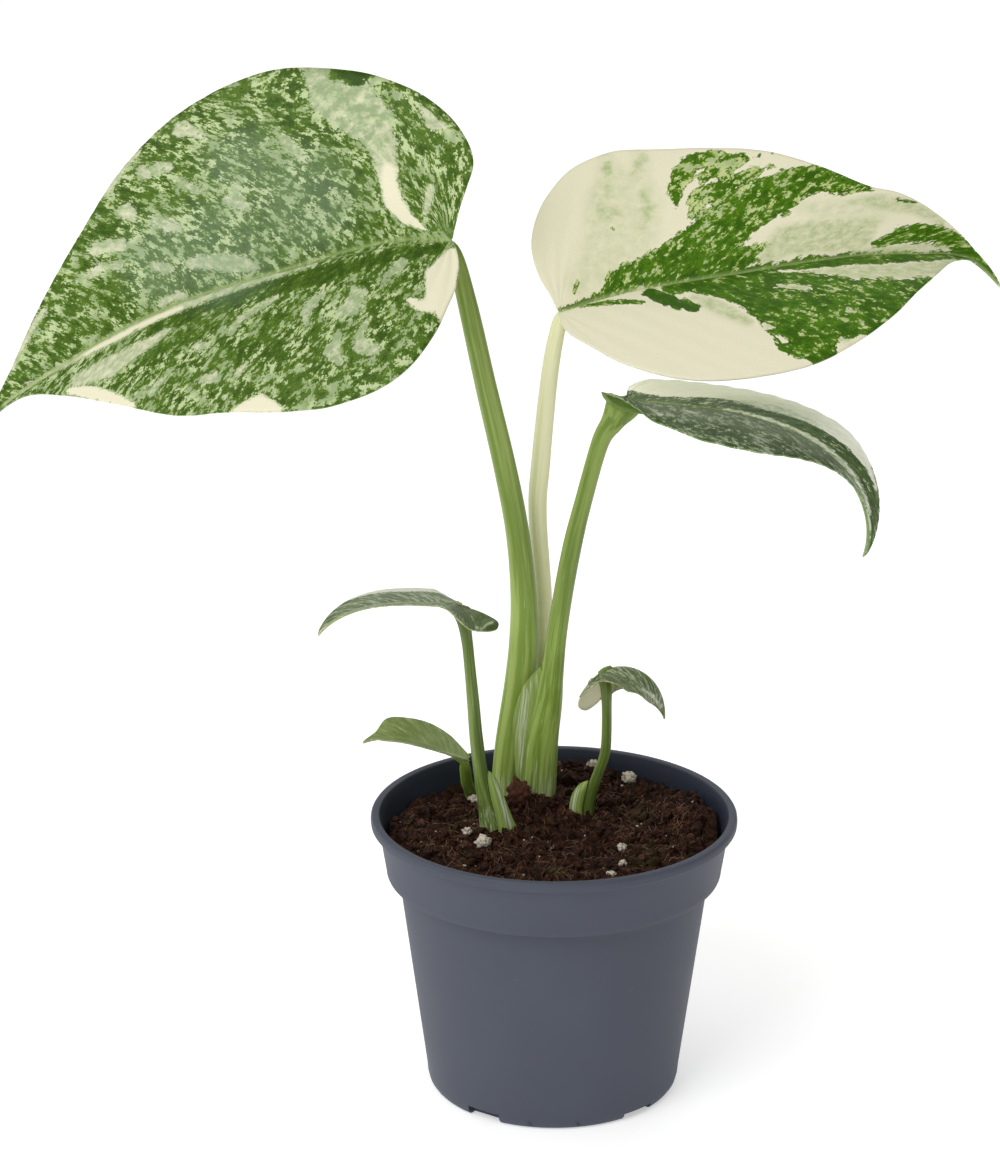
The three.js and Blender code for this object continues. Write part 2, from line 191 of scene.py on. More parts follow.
def face_outward() -> None:
    """Turns the active piece's faces outward."""
    bpy.ops.object.mode_set(mode="EDIT")
    bpy.ops.mesh.select_all(action="SELECT")
    bpy.ops.mesh.normals_make_consistent(inside=False)
    bpy.ops.object.mode_set(mode="OBJECT")


def thicken(sheet: Object, thickness: float, offset: float, back: int = 0) -> None:
    """Gives the active sheet its thickness.

    Args:
        sheet: the sheet.
        thickness: its thickness in mm.
        offset: -1 to grow it below the sheet, 0 to both sides.
        back: how far the material of its underside and rim comes after the front's.
    """
    solid = sheet.modifiers.new("thickness", "SOLIDIFY")
    solid.thickness = thickness * MM
    solid.offset = offset
    solid.material_offset = solid.material_offset_rim = back
    bpy.ops.object.modifier_apply(modifier=solid.name)


def paint_points(piece: Object, name: str, values: np.ndarray) -> None:
    """Stores a number or a vector on every point of a mesh, for its material to read.

    Args:
        piece: the mesh object.
        name: the attribute's name.
        values: one number, or one row of three, for each point.
    """
    is_vector = values.ndim == 2
    kind = "FLOAT_VECTOR" if is_vector else "FLOAT"
    attribute = piece.data.attributes.new(name, kind, "POINT")
    attribute.data.foreach_set("vector" if is_vector else "value", values.astype(np.float32).ravel())


def settle(piece: Object, name: str, nodes: Sequence[str]) -> Object:
    """Names a finished piece, ties it to the body and hides the plain solids that it replaces.

    Args:
        piece: the finished mesh object, with its place in its mesh.
        name: the piece's name.
        nodes: the plain solids that it replaces.

    Returns:
        The same piece.
    """
    piece.name = name
    piece.data.name = name
    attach(piece, BODY)
    if nodes:
        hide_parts(*nodes)
    LOG.info("%s: %d faces", name, len(piece.data.polygons))
    return piece


def smoothstep(value: np.ndarray, low: float, high: float) -> np.ndarray:
    """Rises smoothly from 0 at low to 1 at high."""
    part = np.clip((value - low) / (high - low), 0, 1)
    return part * part * (3 - 2 * part)


def spline(points: Sequence[Sequence[float]], run: np.ndarray) -> np.ndarray:
    """Samples a smooth curve that passes through its points at even steps of run.

    Args:
        points: the points that the curve passes through.
        run: where to sample, from 0 at the first point to 1 at the last.

    Returns:
        One row for each sample.
    """
    given = np.asarray(points, float)
    last = len(given) - 1
    where = np.clip(run, 0, 1) * last
    start = np.minimum(where.astype(int), last - 1)
    part = (where - start)[..., None]
    before, first = given[np.maximum(start - 1, 0)], given[start]
    second, after = given[start + 1], given[np.minimum(start + 2, last)]
    leave, arrive = (second - before) / 2, (after - first) / 2
    curve = (2 * first - 2 * second + leave + arrive) * part ** 3
    return curve + (3 * second - 3 * first - 2 * leave - arrive) * part ** 2 + leave * part + first


def turned(vectors: np.ndarray, axes: np.ndarray, angles: np.ndarray) -> np.ndarray:
    """Turns each vector about an axis at right angles to it, by an angle in radians."""
    return vectors * np.cos(angles)[:, None] + np.cross(axes, vectors) * np.sin(angles)[:, None]


class Tone(Enum):
    """What a stroke of the leaf's pattern is made of."""

    GREEN = "leaf tissue with all its green"
    SAGE = "pale tissue under a veil of grey green"
    PALE = "pale tissue under less of that veil"
    HAZE = "cream tissue with a faint cloud of that veil"
    CREAM = "tissue with no green at all"


# How much of the grey green veil each pale tone has.
VEILS = {Tone.SAGE: 1.0, Tone.PALE: 0.7, Tone.HAZE: 0.32, Tone.CREAM: 0.0}
# Where a patch's veil fades, in mm in from its edge, and how much its edge is frayed.
EDGE = (-1.2, 0.8)
EDGES = {Tone.HAZE: (-3.5, 3.0)}
FRAYS = {Tone.SAGE: 0.6, Tone.PALE: 0.55}


@dataclass(frozen=True)
class Stroke:
    """One patch of the leaf's pattern, as a brush would lay it.

    path holds, in mm on the flat leaf, the distance along the midrib, the distance across from
    it with the leaf's left half positive, and the patch's half width there.
    """

    tone: Tone
    path: tuple[Point, ...]
    fleck: float = -1.0

    def reach(self, along: np.ndarray, across: np.ndarray) -> np.ndarray:
        """Says how far inside the patch each place is.

        Args:
            along: distances along the midrib in mm.
            across: distances across in mm.

        Returns:
            Distances in mm, below zero outside the patch.
        """
        best = np.full(along.shape, -1e3)
        steps = list(zip(self.path, self.path[1:])) or [(self.path[0], self.path[0])]
        for (x0, y0, r0), (x1, y1, r1) in steps:
            span = max((x1 - x0) ** 2 + (y1 - y0) ** 2, 1e-6)
            part = np.clip(((along - x0) * (x1 - x0) + (across - y0) * (y1 - y0)) / span, 0, 1)
            away = np.hypot(along - x0 - part * (x1 - x0), across - y0 - part * (y1 - y0))
            radius = r0 + part * (r1 - r0)
            # A small patch counts as deeper, so that the ragged edges don't swallow it.
            best = np.maximum(best, (radius - away) * (1 + 0.5 / np.maximum(radius, 0.8)))
        return best


@dataclass(frozen=True)
class Finish:
    """A material that is laid out by its own nodes."""

    name: str

    def paint(self, tree: NodeTree) -> Node:
        """Adds the nodes and returns the shader; each finish has its own."""
        raise NotImplementedError

    def make(self) -> Material:
        """Makes the material.

        Returns:
            The material, ready for a piece.
        """
        material = bpy.data.materials.new(self.name)
        material.use_nodes = True
        tree = material.node_tree
        tree.nodes.clear()
        shader = self.paint(tree)
        add_node(tree, "OutputMaterial", {}, {"Surface": shader.outputs[0]})
        return material


@dataclass(frozen=True)
class LeafFinish(Finish):
    """Living leaf skin: a waxy cuticle over marbled tissue.

    The cuticle gives a soft satin sheen. Cells with and without green lie in clumps drawn out
    along the side veins, so each edge between two tones is ragged at the size of about a mm.
    """

    deep: str = "#355012"
    fresh: str = "#547221"
    tinge: str = "#8aa153"
    fleck: str = "#bfcd9b"
    sage: str = "#99ab7e"
    cream: str = "#ebe6c9"
    rib: str = "#a9bd78"
    # The painted sheen: a grey green veil that stands in for the waxy face's reflection of the light.
    painted_sheen: str = "#a6b8a4"
    rough: float = 0.42
    cell: Pair = (0.4, 0.66)

    def paint(self, tree: NodeTree) -> Node:
        """Lays out the marbling, the rib, the painted sheen, the painted light and shade on each half, and
        the relief.

        Args:
            tree: the material's empty node tree.

        Returns:
            The shader.
        """
        vein, flat, mask, extra = (
            add_node(tree, "Attribute", {"attribute_name": name}, {}).outputs["Vector"]
            for name in ("vein", "flat", "tones", "extras"))
        inside, veil, lift = add_node(tree, "SeparateXYZ", {}, {0: mask}).outputs
        painted_sheen, rib, painted_light_and_shade = add_node(tree, "SeparateXYZ", {}, {0: extra}).outputs
        stretch = (1 / self.cell[0], 1 / self.cell[1], 1.0)
        stretched = add_node(tree, "VectorMath", {"operation": "MULTIPLY", 1: stretch}, {0: vein})
        cells = add_node(tree, "TexVoronoi", {"Scale": 1.0}, {"Vector": stretched}).outputs
        lone = add_node(tree, "SeparateXYZ", {}, {0: cells["Color"]})
        # Scales are per mm: clumps about 5 mm wide, streaks 14, drifts 9, grain 0.6 and clouds 3.
        clump, streak, drift, grain, cloud = (
            add_node(tree, "TexNoise", {"Scale": scale, "Detail": detail, "Roughness": rough},
                     {"Vector": place})
            for place, scale, detail, rough in (
                (cells["Position"], 0.19, 3.0, 0.62), (cells["Position"], 0.07, 2.0, 0.5),
                (flat, 0.11, 3.0, 0.55), (flat, 1.7, 2.0, 0.6), (vein, 0.3, 4.0, 0.65)))

        green_edge = add_wave(tree, add_wave(tree, inside, clump, 6.0), streak, 3.0)
        haze = add_node(tree, "MapRange", {1: 0.36, 2: 0.64, 3: 0.45, 4: 1.3}, {0: cloud})
        hazy = add_node(tree, "Math", {"operation": "MULTIPLY", "use_clamp": True}, {0: veil, 1: haze})
        flecks = lift
        for wave, size in ((clump, 1.15), (streak, 0.6), (lone, 0.16)):
            flecks = add_wave(tree, flecks, wave, size)
        depth = add_wave(tree, add_wave(tree, flecks, drift, 0.5), grain, 0.4)

        green = tint(tree, depth, (-0.32, 0.0), self.deep, self.fresh)
        tinged = tint(tree, flecks, (-0.012, 0.012), green, self.tinge)
        pale = tint(tree, drift, (0.42, 0.6), self.fleck, self.sage)
        marbled = tint(tree, flecks, (0.015, 0.05), tinged, pale)
        soft = tint(tree, clump, (0.46, 0.72), self.sage, self.fleck)
        light = add_node(tree, "Mix", {"data_type": "RGBA"}, {0: hazy, 6: self.cream, 7: soft})
        tissue = tint(tree, green_edge, (-0.2, 0.2), light, marbled)
        # Painted sheen: the grey green veil is mixed in where the waxy face would reflect the light, and
        # then the pale midrib.
        for share, colour in ((painted_sheen, self.painted_sheen), (rib, self.rib)):
            tissue = add_node(tree, "Mix", {"data_type": "RGBA"}, {0: share, 6: tissue, 7: colour})
        grainy = add_node(tree, "MapRange", {1: 0.3, 2: 0.7, 3: 0.97, 4: 1.03}, {0: grain})
        # Painted shade darkens each half by its share; a share below zero brightens it as painted light.
        shade = add_node(tree, "Math", {"operation": "SUBTRACT"}, {0: grainy, 1: painted_light_and_shade})
        toned = add_node(tree, "VectorMath", {"operation": "SCALE"}, {0: tissue, 3: shade})

        sheen = {1: 0.3, 2: 0.7, 3: self.rough - 0.05, 4: self.rough + 0.08}
        gloss = add_node(tree, "MapRange", sheen, {0: grain})
        relief = add_wave(tree, clump, grain, 0.6)
        bump = add_node(tree, "Bump", {"Strength": 0.25, "Distance": 0.25 * MM}, {"Height": relief})
        return add_node(
            tree, "BsdfPrincipled",
            {"IOR": 1.45, "Specular IOR Level": 0.14, "Subsurface Weight": 0.06,
             "Subsurface Radius": (1.0, 1.2, 0.4), "Subsurface Scale": 0.6 * MM},
            {"Base Color": toned, "Roughness": gloss, "Normal": bump})


@dataclass
class LeafBlade:
    """One leaf blade, curved from a flat outline along a bending midrib.

    Lengths are in mm and angles in degrees. heading, rise, roll and twist turn the leaf at the
    top of its stalk, droop bends its midrib down by the tip and late says how late. Values in
    pairs are for its left half and its right half. sway shifts the midrib across the blade.
    vein_lean is how far forward the side veins lean at the stalk, and vein_sweep how much more
    they do towards the tip. The painted sheen is listed as places and radii: a grey green veil
    painted where the waxy face reflects the light. The painted light and shade says how much
    darker each half is painted, as painted shade; below zero, a half is painted brighter, as
    painted light.
    """

    name: str
    slot: str
    start: Point
    heading: float
    rise: float
    roll: float
    droop: float
    late: float
    fold: Pair
    curl: Pair
    length: float
    left: tuple[Pair, ...]
    right: tuple[Pair, ...]
    ground: Tone
    fleck: float
    strokes: tuple[Stroke, ...]
    twist: float = 0.0
    tip_fold: Pair = (0.0, 0.0)
    hang: float = 0.0
    lobe_fold: Pair = (0.0, 0.0)
    sway: tuple[Pair, ...] = ((0.0, 0.0), (1.0, 0.0))
    painted_sheen: tuple[Point, ...] = ()
    vein_lean: Pair = (0.5, 0.5)
    vein_sweep: Pair = (1.67, 1.3)
    rib_shade: float = 0.6
    painted_light_and_shade: Pair = (0.0, 0.0)
    rows: int = 230
    columns: int = 52
    thickness: float = 0.55
    rib_depth: float = 1.5
    quilt: float = 0.16

    # Shape: the share of the length that a curl takes, where the lobes' own fold fades, how long
    # the hang is, how points crowd towards the stalk and the midrib, and the midrib's frames.
    CURL_SHARE = 0.42
    LOBE_FADE = (-0.12, 0.14)
    HANG_SHARE = 0.25
    VEIN_LEAD = 1.35
    RIB_CROWDING = 1.35
    FRAMES = 121
    # Side veins, in mm on a leaf of VEIN_LENGTH: the span over which they lean over, their bow,
    # how their cells slant, how they fan out in the lobes, and the steps that find their roots.
    VEIN_LENGTH = 168
    VEIN_SPAN = 100
    VEIN_BOW = 170
    VEIN_SKEW = 0.66
    LOBE_FAN = 30
    VEIN_STEPS = 8
    # Pattern and relief: how many mm the ground lies inside its tone, the strength of flecks and
    # of the painted sheen, the midrib's groove and ridge in mm, and the side veins' spacing by the length.
    GROUND_DEPTH = 12.0
    FLECK_LIFT = 0.09
    PAINTED_SHEEN_SHARE = 0.19
    GROOVE_DEPTH = 0.45
    GROOVE_WIDTH = 0.9
    RIDGE_WIDTH = 1.3
    QUILT_PITCH = 0.055

    def midrib(self) -> tuple[np.ndarray, ...]:
        """Works out the midrib as a row of frames.

        Returns:
            For each frame: its distance along, its place, and the ways left and up.
        """
        along = np.linspace(-0.5 * self.length, 1.02 * self.length, self.FRAMES)
        part = along / self.length
        bend = np.where(part > 0, -self.droop * np.maximum(part, 0) ** self.late,
                        -part / self.HANG_SHARE * self.hang)
        pitch = np.radians(self.rise + bend)
        heading = math.radians(self.heading)
        level = np.cos(pitch)
        forward = np.stack([math.cos(heading) * level, math.sin(heading) * level, np.sin(pitch)], 1)
        flat_left = np.tile([-math.sin(heading), math.cos(heading), 0.0], (self.FRAMES, 1))
        left = turned(flat_left, forward, np.radians(self.roll + self.twist * part))
        up = np.cross(forward, left)
        place = np.zeros((self.FRAMES, 3))
        place[1:] = np.cumsum((forward[:-1] + forward[1:]) * (along[1] - along[0]) / 2, 0)
        place += np.array(self.start) - self._between(along, place, np.zeros(1))
        return along, place, left, up

    def _between(self, along: np.ndarray, rows: np.ndarray, where: np.ndarray) -> np.ndarray:
        """Reads rows of the midrib's frames at any distances along it."""
        return np.stack([np.interp(where, along, rows[:, i]) for i in range(3)], -1)

    def midrib_shift(self, along: np.ndarray) -> np.ndarray:
        """Says how far the midrib lies off the middle, in mm towards the left half."""
        return np.interp(along, [place for place, _ in self.sway], [shift for _, shift in self.sway])

    def curved(self, along: np.ndarray, across: np.ndarray, lift: np.ndarray) -> np.ndarray:
        """Carries places on the flat leaf to the curved one.

        Args:
            along: distances along the midrib in mm.
            across: distances across from the middle in mm, the left half positive.
            lift: heights over the middle of the leaf's thickness in mm.

        Returns:
            Points in mm.
        """
        stations, places, lefts, ups = self.midrib()
        shift = self.midrib_shift(along)
        from_rib = across - shift
        distance = np.abs(from_rib)
        side = np.where(from_rib > 0, 1.0, -1.0)
        part = along / self.length
        lobe = 1 - smoothstep(part, *self.LOBE_FADE)
        tip = np.maximum(part, 0) ** 2

        def half(pair: Pair) -> np.ndarray:
            """Picks the value of each place's own half."""
            return np.where(side > 0, pair[0], pair[1])

        fold = np.radians(half(self.fold) + half(self.lobe_fold) * lobe + half(self.tip_fold) * tip)
        bend = np.radians(half(self.curl)) / (self.CURL_SHARE * self.length)
        slope = fold - bend * distance
        out = (np.sin(fold) - np.sin(slope)) / bend
        rise = (np.cos(slope) - np.cos(fold)) / bend
        tilt = slope * smoothstep(distance, 0, 0.6)
        place = self._between(stations, places, along)
        left = self._between(stations, lefts, along)
        up = self._between(stations, ups, along)
        sideways = shift + side * (out - lift * np.sin(tilt))
        return place + left * sideways[:, None] + up * (rise + lift * np.cos(tilt))[:, None]

    def flat_places(self, run: np.ndarray, spread: np.ndarray) -> tuple[np.ndarray, np.ndarray]:
        """Finds places on the flat leaf from how far round the outline and out from the midrib they are.

        Args:
            run: 0 at the stalk to 1 at the tip.
            spread: 0 on the midrib to 1 on the left margin or -1 on the right one.

        Returns:
            Distances along and across in mm.
        """
        margins = []
        for points in (self.left, self.right):
            side = 1 if points is self.left else -1
            ends = [(-1.0, 1.2), *points, (self.length, 0.3 + side * self.sway[-1][1])]
            margins.append(spline(ends, run))
        is_left = (spread > 0)[:, None]
        margin = np.where(is_left, margins[0], margins[1] * np.array([1.0, -1.0]))
        root = self.length * run ** self.VEIN_LEAD
        out = np.abs(spread)
        along = root + (margin[:, 0] - root) * out
        shift = self.midrib_shift(root)
        return along, shift + (margin[:, 1] - shift) * out

    def vein_places(self, along: np.ndarray, across: np.ndarray) -> np.ndarray:
        """Gives each place its side vein and how far out along that vein it is.

        Args:
            along: distances along the midrib in mm.
            across: distances across in mm.

        Returns:
            For each place: its vein's root, its distance out along the vein, and zero, in mm.
        """
        size = self.length / self.VEIN_LENGTH
        span = self.VEIN_SPAN * size
        out = np.abs(across - self.midrib_shift(along))
        is_left = across > self.midrib_shift(along)
        lean = np.where(is_left, *self.vein_lean)
        left_sweep, right_sweep = self.vein_sweep
        root = along - lean * out
        for _ in range(self.VEIN_STEPS):
            ahead = np.maximum(root, 0) / span
            sweep = lean + np.where(is_left, left_sweep * ahead, right_sweep * ahead ** 2)
            gain = np.where(is_left, left_sweep, 2 * right_sweep * ahead) / span * (root > 0)
            miss = root + out * sweep + out ** 2 / (self.VEIN_BOW * size) - along
            root = root - miss / (1 + out * gain)
        ahead = np.maximum(root, 0)
        fan = self.LOBE_FAN * root / np.maximum(np.hypot(along, out), 4)
        number = np.where(root > 0, root, fan)
        distance = np.hypot(out, along - ahead) + self.VEIN_SKEW * ahead
        return np.stack([number, np.sign(across) * distance, np.zeros_like(out)], 1)

    def tones(self, along: np.ndarray, across: np.ndarray) -> np.ndarray:
        """Lays the strokes one over another.

        Args:
            along: distances along the midrib in mm.
            across: distances across in mm.

        Returns:
            For each place: mm inside the green, the share of the veil, and a lift for flecks.
        """
        green = np.full(along.shape, self.GROUND_DEPTH * (1 if self.ground is Tone.GREEN else -1))
        veil = np.full(along.shape, VEILS.get(self.ground, 1.0))
        fleck = np.full(along.shape, self.fleck)
        for stroke in self.strokes:
            reach = stroke.reach(along, across) * FRAYS.get(stroke.tone, 1.0)
            inside = smoothstep(reach, *EDGES.get(stroke.tone, EDGE))
            if stroke.tone is Tone.GREEN:
                green = np.maximum(green, reach)
            else:
                green = np.minimum(green, -reach)
                veil += (VEILS[stroke.tone] - veil) * inside
            if stroke.fleck >= 0:
                fleck += (stroke.fleck - fleck) * inside
        share = np.clip(fleck, 0.01, 0.99)
        return np.stack([green, veil, self.FLECK_LIFT * np.log(share / (1 - share))], 1)

    def extras(self, along: np.ndarray, across: np.ndarray) -> np.ndarray:
        """Adds what lies over the marbling: painted sheen, the pale midrib, and painted light and shade.

        Args:
            along: distances along the midrib in mm.
            across: distances across in mm.

        Returns:
            For each place: its share of painted sheen, its share of the pale midrib, and its painted shade,
                below zero where it is painted light.
        """
        # Painted sheen: a soft round patch of the grey green veil at each listed place.
        painted_sheen = np.zeros_like(along)
        for x, y, radius in self.painted_sheen:
            away = np.hypot(along - x, across - y)
            painted_sheen = np.maximum(painted_sheen, 1 - smoothstep(away, 0.35 * radius, radius))
        part = np.clip(along / self.length, 0, 1)
        from_rib = np.abs(across - self.midrib_shift(along))
        width = self.GROOVE_WIDTH * (1 - 0.5 * part)
        # Painted shade for each half; below zero it is painted light.
        painted_light_and_shade = np.where(across > self.midrib_shift(along), *self.painted_light_and_shade)
        rib = self.rib_shade * np.exp(-(from_rib / width) ** 2) * smoothstep(along, -3, 1)
        return np.stack([self.PAINTED_SHEEN_SHARE * painted_sheen, rib, painted_light_and_shade], 1)

    def build(self, front: Material, back: Material) -> Object:
        """Models the blade and dresses it.

        Args:
            front: the material of its upper face.
            back: the material of its underside and margin.

        Returns:
            The finished piece.
        """
        blade, length, width = new_sheet(self.rows, 2 * self.columns)
        run = (length + 1) / 2
        spread = np.sign(width) * np.abs(width) ** self.RIB_CROWDING
        along, across = self.flat_places(run, spread)
        veins = self.vein_places(along, across)
        from_rib = np.abs(across - self.midrib_shift(along))
        part = np.clip(along / self.length, 0, 1)
        groove = self.GROOVE_DEPTH * np.exp(-(from_rib / self.GROOVE_WIDTH) ** 2)
        groove *= smoothstep(along, -1, 4)
        quilt = self.quilt * np.sin(2 * np.pi * veins[:, 0] / (self.QUILT_PITCH * self.length))
        quilt *= smoothstep(from_rib, 1, 8) * (1 - 0.6 * part)
        lift = 0.5 * self.thickness - groove + quilt
        place_points(blade, MM * self.curved(along, across, lift))
        paint_points(blade, "vein", veins)
        paint_points(blade, "flat", np.stack([along, across, np.zeros_like(along)], 1))
        paint_points(blade, "tones", self.tones(along, across))
        paint_points(blade, "extras", self.extras(along, across))
        blade.data.materials.append(front)
        blade.data.materials.append(back)
        thicken(blade, self.thickness, -1, back=1)
        self._raise_back_rib(blade, along, across)
        bpy.ops.object.shade_smooth()
        return settle(blade, f"{self.name}_blade", [self.name])

    def _raise_back_rib(self, blade: Object, along: np.ndarray, across: np.ndarray) -> None:
        """Draws the underside out into the midrib's ridge.

        Args:
            blade: the blade, with its thickness.
            along: the upper face's distances along the midrib in mm.
            across: its distances across in mm.
        """
        points = positions(blade)
        count = len(along)
        down = points[count:] - points[:count]
        down /= np.linalg.norm(down, axis=1)[:, None]
        part = np.clip(along / self.length, 0, 1)
        from_rib = np.abs(across - self.midrib_shift(along))
        width = self.RIDGE_WIDTH * (1 - 0.55 * part)
        depth = self.rib_depth * (1 - part) ** 0.8 * np.exp(-(from_rib / width) ** 2)
        depth *= smoothstep(along, -4, 2)
        points[count:] += MM * depth[:, None] * down
        place_points(blade, points)


# Short names for the tones in the tables of strokes.
G, S, P, H, C = Tone.GREEN, Tone.SAGE, Tone.PALE, Tone.HAZE, Tone.CREAM

LEFT_STROKES = (
    Stroke(G, ((4, 3, 2), (40, 6, 3.5), (75, 8, 3.5), (100, 8, 3)), 0.12),
    Stroke(G, ((45, 18, 4), (62, 28, 5), (72, 30, 4)), 0.25),
    Stroke(G, ((80, 16, 3), (105, 17, 3)), 0.25),
    Stroke(C, ((-1, 7, 3.4), (2.5, 14, 5), (2.5, 22, 5), (0, 30, 3.4))),
    Stroke(C, ((6, 26, 2.6), (10, 25, 2), (12.5, 22.5, 0.8))),
    Stroke(C, ((59, 53, 2), (65, 49.5, 3.2), (75, 49.8, 1.2))),
    Stroke(P, ((95, 10.5, 1.2), (105, 13, 2.6), (118, 14, 4.4), (131, 11, 2.6))),
    Stroke(C, ((112, 33.5, 1.2), (120, 26.5, 2.6), (127, 19.5, 2.4), (135, 13, 1.2))),
    Stroke(P, ((44, 1, 0.4), (62, 1.8, 0.9), (80, 2.4, 1.5), (95, 2.6, 1.8), (112, 2.8, 2),
               (125, 2.2, 1.6), (134, 0.6, 1), (150, -2.2, 0.5), (160, -4, 0.4))),
    Stroke(C, ((90, 3, 0.9), (112, 3.2, 1.2), (126, 2.2, 0.8))),
    Stroke(S, ((24, 39, 1.8), (28, 37, 2.4), (29, 33, 1.4), (26, 28, 0.6))),
    Stroke(S, ((36, 41, 1.4), (38, 37, 2.8), (36, 31, 0.9))),
    Stroke(S, ((36, 24, 1.8), (32, 22, 3.2), (29, 18, 2.6), (31, 14, 0.8))),
    Stroke(S, ((47, 24, 1.2), (46, 18, 1.8), (41, 14, 0.9))),
    Stroke(S, ((15, 7, 1.4), (17, 10, 1.8), (20, 12, 0.8))),
    Stroke(P, ((81, 23, 0.8), (85, 22, 1.5))),
    Stroke(P, ((80, 36, 1.5), (84, 35, 1.2))),
    Stroke(P, ((68, 34, 0.9), (72, 37, 1.1))),
    Stroke(S, ((57, 11, 0.9), (61, 13, 1.2), (69, 16, 1.2), (73, 20, 1.2))),
    Stroke(S, ((96, 27, 0.8), (104, 32, 0.9), (110, 30, 0.7))),
    Stroke(G, ((12, -25, 2.6), (8, -30, 4), (4, -38, 4)), 0.4),
    Stroke(P, ((17, -24, 3), (17, -32, 4), (19, -37, 5))),
    Stroke(S, ((19, -40, 6.4), (25, -47, 8.2), (32, -51, 5.6), (34.5, -57, 3), (35, -63, 3.4))),
    Stroke(C, ((7, -4.6, 0.3), (13, -9.5, 2.1), (16.2, -15, 3), (16.8, -20, 2.9), (16.2, -25, 2.2))),
    Stroke(P, ((4, -17, 1.4), (6.5, -10, 0.6))),
    Stroke(P, ((-3, -35, 1.1), (1, -38, 1.5), (5, -44, 0.8))),
    Stroke(S, ((64, -4, 1.4), (70, -6.5, 3), (79, -9.5, 2), (84, -11, 1))),
    Stroke(S, ((90, -11.5, 1.5), (94, -13.5, 1.2))),
    Stroke(S, ((61, -22, 1.2), (65, -25.5, 2.4), (63, -30, 1.2))),
    Stroke(S, ((41, -33, 0.9), (45, -38, 2), (47, -41, 1.4))),
    Stroke(S, ((73, -31, 0.9), (77, -34, 1.4), (80, -38, 0.9))),
    Stroke(P, ((95, -31, 1.4), (97, -33.5, 2))),
    Stroke(P, ((81, -42, 1.1), (88, -43, 2))),
    Stroke(P, ((103, -18.5, 1), (110, -20, 1.3), (118, -20, 0.7))),
    Stroke(P, ((83, -22.5, 1.8), (89, -27, 1.6))),
    Stroke(P, ((101, -23.5, 1.6), (108, -26.5, 2.2))),
    Stroke(P, ((69, -48.5, 1.2), (75, -52.5, 2))),
    Stroke(P, ((88, -1.8, 0.9), (96, -2.2, 1))),
    Stroke(G, ((22, -55.5, 2.6), (27, -59, 2.2)), 0.0),
    Stroke(G, ((102, -31, 2.4), (109, -32, 2)), 0.1),
    Stroke(G, ((42, -50, 2.4), (44, -46, 1.8)), 0.15),
    Stroke(P, ((131, -18, 0.8), (140, -14.5, 1), (150, -10, 0.7))),
    Stroke(P, ((88, -50, 0.6), (96, -45, 1.2), (100, -41, 0.9))),
)

